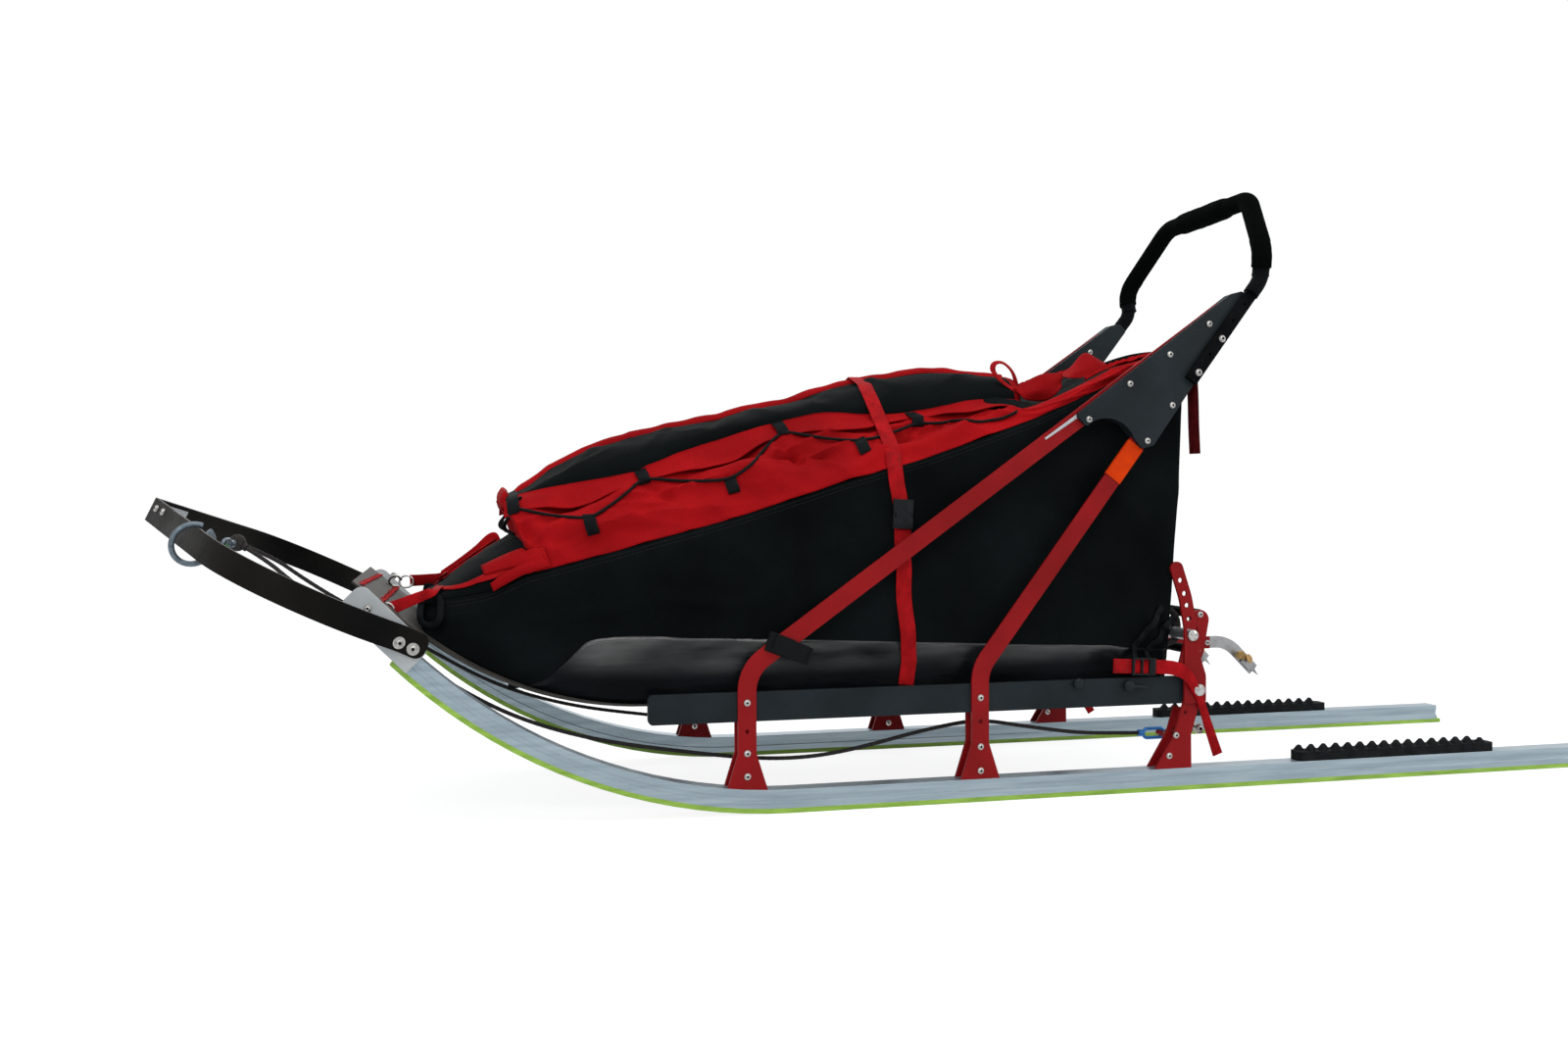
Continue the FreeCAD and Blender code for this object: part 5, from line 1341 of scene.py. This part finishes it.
flaps, nose_straps, ring_parts, handles = [], [], [], []
for sign in (1.0, -1.0):
    widths = [0.0095 + 0.0125 * max(0.0, min(1.0, (i - 11) / 14)) for i in range(30)]
    nose_straps.append(ribbon(*laid(near_strap, sign, 0.002, 30), widths))
    flaps.append(laid_flap([(0.782, 0.3954), (0.722, 0.4230), (0.684, 0.4275)],
                           [(0.778, 0.3825), (0.7395, 0.3935), (0.676, 0.4010)], sign, 0.0045))
    flaps.append(laid_flap([(0.769, 0.371), (0.7374, 0.392), (0.688, 0.4150)],
                           [(0.764, 0.358), (0.718, 0.384), (0.675, 0.3986)], sign, 0.0070))
flaps.append(sheet_of(far_flap_point, (0.0, 1.0, 20), (0.0, 1.0, 8)))
flap_cuts = [(0.032, 0.13, 0.0039), (0.026, 0.135, 0.0032)] * 2 + [(0.045, 0.125, 0.0053)]
for k, (grid, cut) in enumerate(zip(flaps, flap_cuts)):
    cloth("bag_nose_flap_" + str(k + 1), grid, [red_cloth], nylon_thick,
          lies_on_it=False)
ring_turn = Vector((0.2, 1.0, 0.1)).to_track_quat("Z", "Y").to_matrix()
near_run = [(0.9247, 0.170, 0.3345), (0.9045, 0.170, 0.3425), (0.8768, 0.172, 0.3535), (0.8600, 0.174, 0.3600),
            on_bag(0.8466, 0.3608, 1.0, 0.003)[0]]
far_run = [(0.9050, -0.170, 0.3590), (0.8880, -0.170, 0.3595), (0.8700, -0.170, 0.3606), (0.8500, -0.171, 0.3625),
           (0.8300, -0.176, 0.3700)]
for sign, run, taper in ((1.0, near_run, 0.009), (-1.0, far_run, 0.002)):
    start = Vector(run[0])
    widths = [0.0215 - taper * i / 19 for i in range(20)]
    nose_straps.append(ribbon(eased(run, 20), Vector((0.25, sign, 0.25)).normalized(), widths, 0.0034))
    ring_middle = start + Vector((0.006, 0.0, -0.001))
    ring = [ring_middle + ring_turn @ Vector((a, b * 0.85, 0.0)) for a, b in circle(0.0125, 12)]
    ring_parts.append(wire(ring, 0.0019, True, 60))
    hook = [start + Vector(p) for p in ((0.014, 0.004, 0.002), (0.022, 0.006, 0.010), (0.030, 0.004, 0.009),
                                        (0.036, 0.000, 0.000), (0.031, -0.004, -0.008), (0.022, -0.004, -0.009))]
    ring_parts.append(wire(hook, 0.0021))
    ring_parts.append(lathe([(0.0, -0.004), (0.0052, -0.004), (0.0060, -0.002), (0.0060, 0.002), (0.0052, 0.004),
                             (0.0, 0.004)], start + Vector((0.028, 0.006 * sign, 0.010)), left))
nose_straps.append(ribbon(*laid(far_strap, -1.0, 0.006, 24), 0.018))
for sign in (1.0, -1.0):
    out = Vector((0.0, sign, 0.0))
    line = [Vector((p.x, sign * (abs(on_bag(min(p.x, 0.868), p.y, sign)[0].y) + 0.012), p.y))
            for p in eased(handle_loop, 40)]
    handles.append(ribbon(line, out, 0.010, 0.0045))
    stitched_end = on_bag(0.862, 0.345, sign, 0.006)[0]
    handles.append(block(stitched_end, Vector((1.0, 0.0, 0.1)).normalized(), out, 0.030, 0.012, 0.008))
piece("nose_straps", nose_straps, red_web)
piece("nose_rings", ring_parts, steel)
piece("nose_handles", handles, black_web)

# Bed: red lacing
# Two rows of red cord are knotted through the bed's front edge.
# Each row sways a little between its knots, and every knot leaves a short end.

red_cord = finish("red_cord", (0.30, 0.006, 0.008), (0.52, 0.020, 0.022), (700.0, 2.0), 0.70, specular=0.2)
bed_half = 0.205
cord_radius, cord_steps, cord_knots = 0.0009, 96, 12
cord_parts = []
for near_x, far_x, seed in ((0.9645, 0.9557, 1.0), (0.9325, 0.9265, 5.0)):
    line = []
    for i in range(cord_steps + 1):
        t = i / cord_steps
        wave = 2 * math.pi * t * cord_knots
        x = near_x + (far_x - near_x) * t
        x += 0.0012 * math.sin(wave) + 0.0015 * noise.noise(Vector((t * 30, seed, 0.0)))
        height = 0.0022 + 0.0018 * max(0.0, math.sin(wave + seed))
        line.append(Vector((x, bed_half - 2 * bed_half * t, bed_top(x) + height)))
    cord_parts.append(swept(line, circle(cord_radius)))
    for k in range(cord_knots):
        spot = line[4 + k * 8]
        knot = [spot + Vector((0.0026 * math.cos(a), 0.0022 * math.sin(a), 0.0012 + 0.0009 * math.sin(2 * a)))
                for a in [math.pi * 2 * j / 9 for j in range(9)]]
        cord_parts.append(wire(knot, 0.0008, True, 36))
        loose = ((0.0, 0.0, 0.002), (0.004, 0.002, 0.0034),
                 (0.006 + 0.002 * math.sin(k * 2.1), 0.004 * math.cos(k * 1.7), 0.002))
        cord_parts.append(wire([spot + Vector(p) for p in loose], 0.0008))
piece("bed_lacing", cord_parts, red_cord)

# Load bag: loose ends at the rear
# Two red flaps and a red loop stand up out of the rear cover.
# The red band is gathered where it passes the gussets, and black binding closes the rear panel's edge.

rear_flaps = [
    ([(-0.2970, 0.7350), (-0.3220, 0.7570), (-0.3487, 0.7812), (-0.3750, 0.7700), (-0.3976, 0.7585)],
     [(-0.2970, 0.7290), (-0.3150, 0.7290), (-0.3486, 0.7300), (-0.3700, 0.7360), (-0.3920, 0.7460)], -0.020, 0.040,
     (0.062, 0.105, 0.0058)),
    ([(-0.1450, 0.7000), (-0.1700, 0.7130), (-0.2008, 0.7263), (-0.2389, 0.7291)],
     [(-0.1520, 0.6850), (-0.1629, 0.6780), (-0.2008, 0.6780), (-0.2294, 0.7020)], 0.115, 0.020,
     (0.050, 0.10, 0.0042))]
for k, (upper, lower, y, slope, cut) in enumerate(rear_flaps):
    tops, lows = eased(upper, 16), eased(lower, 16)

    def loose_point(u, v):
        """A place on the flap; u runs along its upper edge and v down."""
        spot = tops[round(u * 15)].lerp(lows[round(u * 15)], v)
        bow = 0.010 * arch(u) * arch(v) + 0.006 * noise.noise(Vector((u * 3.0, v * 2.0, k * 5.0)))
        return Vector((spot.x, y + slope * v + bow, spot.y))

    cloth("bag_rear_flap_" + str(k + 1), sheet_of(loose_point, (0.0, 1.0, 16), (0.0, 1.0, 12)), [red_cloth],
          nylon_thick, lies_on_it=False)
for side, sign in sides:
    def gather_point(u, v):
        """A place on the gathered band; u runs back and v inward."""
        x = -0.250 - 0.150 * u
        y = 0.190 - 0.032 * v * min(1.0, 0.3 + u)
        edge = at_x(collar_top, x)
        ground = edge + (at_x(valley, x) - edge) * (1.0 - (y / 0.192) ** 2.6)
        pleats = 0.008 * crease(u * 0.35 + v * 0.1, v * 0.5, 2.2, 16.0, 12.0, 1.5) * arch(min(1.0, v + 0.1))
        return Vector((x, sign * y, ground + 0.004 + pleats))

    cloth("bag_gathered_band_" + side, sheet_of(gather_point, (0.0, 1.0, 40), (0.0, 1.0, 24)), [red_cloth],
          nylon_thick, lies_on_it=False)
rear_loop = [(-0.1640, 0.6900), (-0.1600, 0.7130), (-0.1500, 0.7330), (-0.1320, 0.7460), (-0.1150, 0.7440),
             (-0.1110, 0.7300), (-0.1270, 0.7110), (-0.1500, 0.6950), (-0.1700, 0.6830), (-0.1913, 0.6800)]
turns = eased([(x, 0.085 + 0.004 * i, z) for i, (x, z) in enumerate(rear_loop)], 44)
piece("bag_rear_loop", [ribbon(turns, Vector((0.1, 0.6, 0.8)).normalized(), 0.010, 0.0022)], red_web)
edge_line = [rear_point(u, 1.0) + Vector((-0.0010, 0.0, 0.0015)) for u in spread(-0.98, 0.98, 50)]
piece("bag_rear_binding", [ribbon(edge_line, Vector((-0.8, 0.0, 0.6)).normalized(), 0.015, 0.0030)], black_web)

# Seams
# Double rows of stitches hold the panels along the seam line.
# Single rows run along the glossy band's upper edge and down the rear panel's sides.

thread = finish("seam_thread", (0.010, 0.010, 0.011), (0.034, 0.034, 0.036), (900.0, 1.0), 0.80, specular=0.15)


def stitches(line, out, pitch=0.0042, long=0.0029, wide=0.0007):
    """A row of short raised threads along a seam."""
    verts, faces = [], []
    spots = evenly(line, pitch)
    for first, second in zip(spots, spots[1:]):
        ahead = (second - first).normalized()
        across = ahead.cross(out).normalized()
        base = first + out * 0.0009
        shift = len(verts)
        for a, b, c in ((0.0, 0.0, 0.0), (0.3, 1.0, 0.4), (0.7, 1.0, 0.4), (1.0, 0.0, 0.0), (0.7, -1.0, 0.4),
                        (0.3, -1.0, 0.4), (0.5, 0.0, 1.0)):
            verts.append(base + ahead * (long * a) + across * (wide / 2 * b) + out * (0.0005 * c))
        ring = [shift + k for k in range(6)]
        faces += [(ring[k], ring[(k + 1) % 6], shift + 6) for k in range(6)]
        faces.append(tuple(reversed(ring)))
    return verts, faces


rows = []
for sign in (1.0, -1.0):
    out = Vector((0.0, sign, 0.0))
    for drop in (0.006, 0.012):
        line = [side_point(x, 1.0 - drop / max(0.05, at_x(seam_line, x) - bed_top(x)), sign)
                for x in spread(0.84, tail_x + 0.006, 140)]
        rows.append(stitches(line, Vector((0.0, sign, 0.15)).normalized()))
    rows.append(stitches([band_point(x, 0.96, sign) for x in spread(0.72, tail_x + 0.01, 120)], out))
    rows.append(stitches([rear_point(sign * 0.96, v) for v in spread(0.02, 0.93, 80)], Vector((-1.0, 0.0, 0.0))))
piece("seam_stitches", rows, thread, smooth=False)

# Stay trim
# A black rubber strap is wound round each front post's bend.
# A pale grey strip on the stay's upper end is a painted highlight for light on the bar's top face.

wraps, highlight_strips = [], []
for sign in (1.0, -1.0):
    out = Vector((0.0, sign, 0.05)).normalized()
    ahead = Vector((-0.93, 0.0, -0.37)).normalized()
    for x, y, z, long, wide, thick, soft in ((0.3185, 0.2602, 0.2700, 0.044, 0.0325, 0.0120, 0.0022),
                                             (0.2840, 0.2640, 0.2560, 0.034, 0.0285, 0.0032, 0.0014),
                                             (0.3020, 0.2672, 0.2635, 0.058, 0.0300, 0.0030, 0.0014)):
        wraps.append(block(Vector((x, sign * y, z)), ahead, out, long, wide, thick, soft))
    # Painted highlight: a thin pale strip stands for light on the stay's top face.
    line = on_side(((-0.1480, 0.2440, 0.6046), (-0.1800, 0.2430, 0.6256), (-0.2117, 0.2418, 0.6466)), sign)
    highlight_strips.append(ribbon(line, Vector((0.0, sign, 0.0)), [0.0035, 0.0050, 0.0062], 0.0022))
piece("stay_wraps", wraps, lace_finish, smooth=False)
piece("stay_painted_highlights", highlight_strips, grey_plate, smooth=False)

# Rail pegs
# Two dark knobs stand on each side rail, where loads are tied down.
# A long pin lies behind the rear one.

knob_shape = [(0.0, 0.0), (0.0085, 0.0), (0.0095, 0.002), (0.0095, 0.006), (0.0070, 0.009), (0.0, 0.010)]
knobs = [Vector((-0.200, 0.262, 0.190)), Vector((-0.293, 0.262, 0.183))]
pegs = [lathe(knob_shape, knob, left) for knob in knobs]
pin = ((0.0, 0.007, 0.0), (-0.016, 0.0075, -0.001), (-0.032, 0.007, -0.004))
pegs.append(wire([knobs[1] + Vector(p) for p in pin], 0.0030))
piece("rail_pegs", pair(pegs), dark_plastic)

# Rear straps
# Red webbing with a black slide runs along the rail, round the post and down free.
# Two black pulls go up from the slide behind the bag.

strap_spots = ((-0.2640, 0.2640, 0.2186), (-0.2900, 0.2645, 0.2172), (-0.3200, 0.2650, 0.2158),
               (-0.3450, 0.2660, 0.2145), (-0.3700, 0.2710, 0.2125), (-0.3880, 0.2750, 0.2060),
               (-0.4020, 0.2755, 0.1930), (-0.4120, 0.2750, 0.1760), (-0.4230, 0.2730, 0.1560),
               (-0.4370, 0.2650, 0.1262), (-0.4540, 0.2560, 0.0913), (-0.4730, 0.2450, 0.0545))
strap_steps, turned_from, hangs_from = 60, 26, 42
rail_wide = 0.024
strap_widths = [rail_wide if i < turned_from else rail_wide - 0.011 * min(1.0, (i - turned_from) / 15)
                if i < hangs_from else 0.013 + 0.005 * (i - hangs_from) / 17 for i in range(strap_steps)]
rear_straps, slides, pulls, box_rows = [], [], [], []


def box_stitches(middle, ahead, out, long, wide):
    """Thread round a doubled end of webbing and once across it."""
    across = ahead.cross(out)
    ends = [middle + ahead * (a * long / 2) + across * (b * wide / 2)
            for a, b in ((-1, -1), (1, -1), (1, 1), (-1, 1))]
    return [stitches([a, b], out, 0.0034, 0.0024, 0.0009)
            for a, b in (*zip(ends, ends[1:] + ends[:1]), (ends[0], ends[2]))]


for sign in (1.0, -1.0):
    out = Vector((0.0, sign, 0.0))
    back = Vector((-1.0, 0.0, -0.05)).normalized()
    run = on_side(strap_spots, sign)
    strap_faces = [Vector((0.30 * max(0.0, (i - turned_from) / 33), sign, 0.1)).normalized()
                   for i in range(strap_steps)]
    rear_straps.append(ribbon(eased(run, strap_steps), strap_faces, strap_widths, 0.0018))
    rear_straps.append(ribbon(eased(run[:2], 10), out, 0.0245, 0.0036))
    box_rows += box_stitches(Vector((-0.2770, sign * 0.2677, 0.2180)), back, out, 0.022, 0.019)
    slide = Vector((-0.3195, sign * 0.2685, 0.2158))
    for shift, long in ((-0.0205, 0.0045), (-0.0045, 0.0035), (0.0150, 0.0120)):
        slides.append(block(slide + back * shift, back, out, long, 0.030, 0.0060))
    for rise in (-0.0135, 0.0135):
        slides.append(block(slide + Vector((0.0, 0.0, rise)), back, out, 0.042, 0.0030, 0.0050))
    for low, high in (((-0.3103, 0.2241), (-0.3760, 0.3080)), ((-0.3382, 0.2250), (-0.3900, 0.2800))):
        steps = [Vector(low).lerp(Vector(high), t) for t in spread(0.0, 1.0, 16)]
        pull = [(low[0] + 0.004, sign * 0.262, low[1] - 0.006)]
        pull += [on_bag(p.x, p.y, sign, 0.004)[0] for p in steps[3:]]
        pull.append((high[0] - 0.022, sign * 0.202, high[1] + 0.016))
        pulls.append(ribbon(eased(pull, 40), out, 0.011, 0.0030))
piece("rear_straps", rear_straps, red_web)
piece("rear_pulls", pulls, black_web)
piece("rear_slides", slides, buckle_plastic)
for sign in (1.0, -1.0):
    place, out = on_bag(at_x(strap_run, 0.560), 0.560, sign, 0.0063)
    box_rows += box_stitches(place, Vector((0.12, 0.0, -1.0)).normalized(), out, 0.030, 0.020)
piece("box_stitches", box_rows, thread, smooth=False)

# Gusset tails
# The ends of two red webbing straps hang down from the gussets beside the rear panel.
# They are in the shade of the bag and look darker than the other webbing.

shaded_web = finish("shaded_red_webbing", (0.045, 0.0022, 0.0030), (0.075, 0.0040, 0.0050), (60.0, 4.0), 0.76,
                    specular=0.04, weave=web_weave)
tails = []
for sign in (1.0, -1.0):
    hang = on_side(((-0.4300, 0.2330, 0.7200), (-0.4330, 0.2320, 0.6800), (-0.4350, 0.2310, 0.6300),
                    (-0.4380, 0.2300, 0.5810)), sign)
    tails.append(ribbon(eased(hang, 20), Vector((0.90, sign * 0.43, 0.0)).normalized(), 0.022, 0.0026))
piece("gusset_tails", tails, shaded_web)

# Tow gear
# A bent snap ring hangs on the bow's left band and carries the bridle's knot on a green loop.
# Blue links join the ropes' other ends to the rear posts.

dress(finish("ring_alloy", (0.07, 0.09, 0.11), (0.14, 0.18, 0.21), (120.0, 4.0), 0.38, 0.6), "tow_ring",
      "tow_shackle")
dress(finish("green_cord", (0.008, 0.05, 0.015), (0.035, 0.15, 0.05), (600.0, 2.0), 0.75, specular=0.2), "tow_loop")
dress(rope_finish, "bridle_knot")
dress(finish("blue_link", (0.030, 0.20, 0.58), (0.055, 0.28, 0.72), (90.0, 3.0), 0.36, 0.3), *both("bridle_link"))
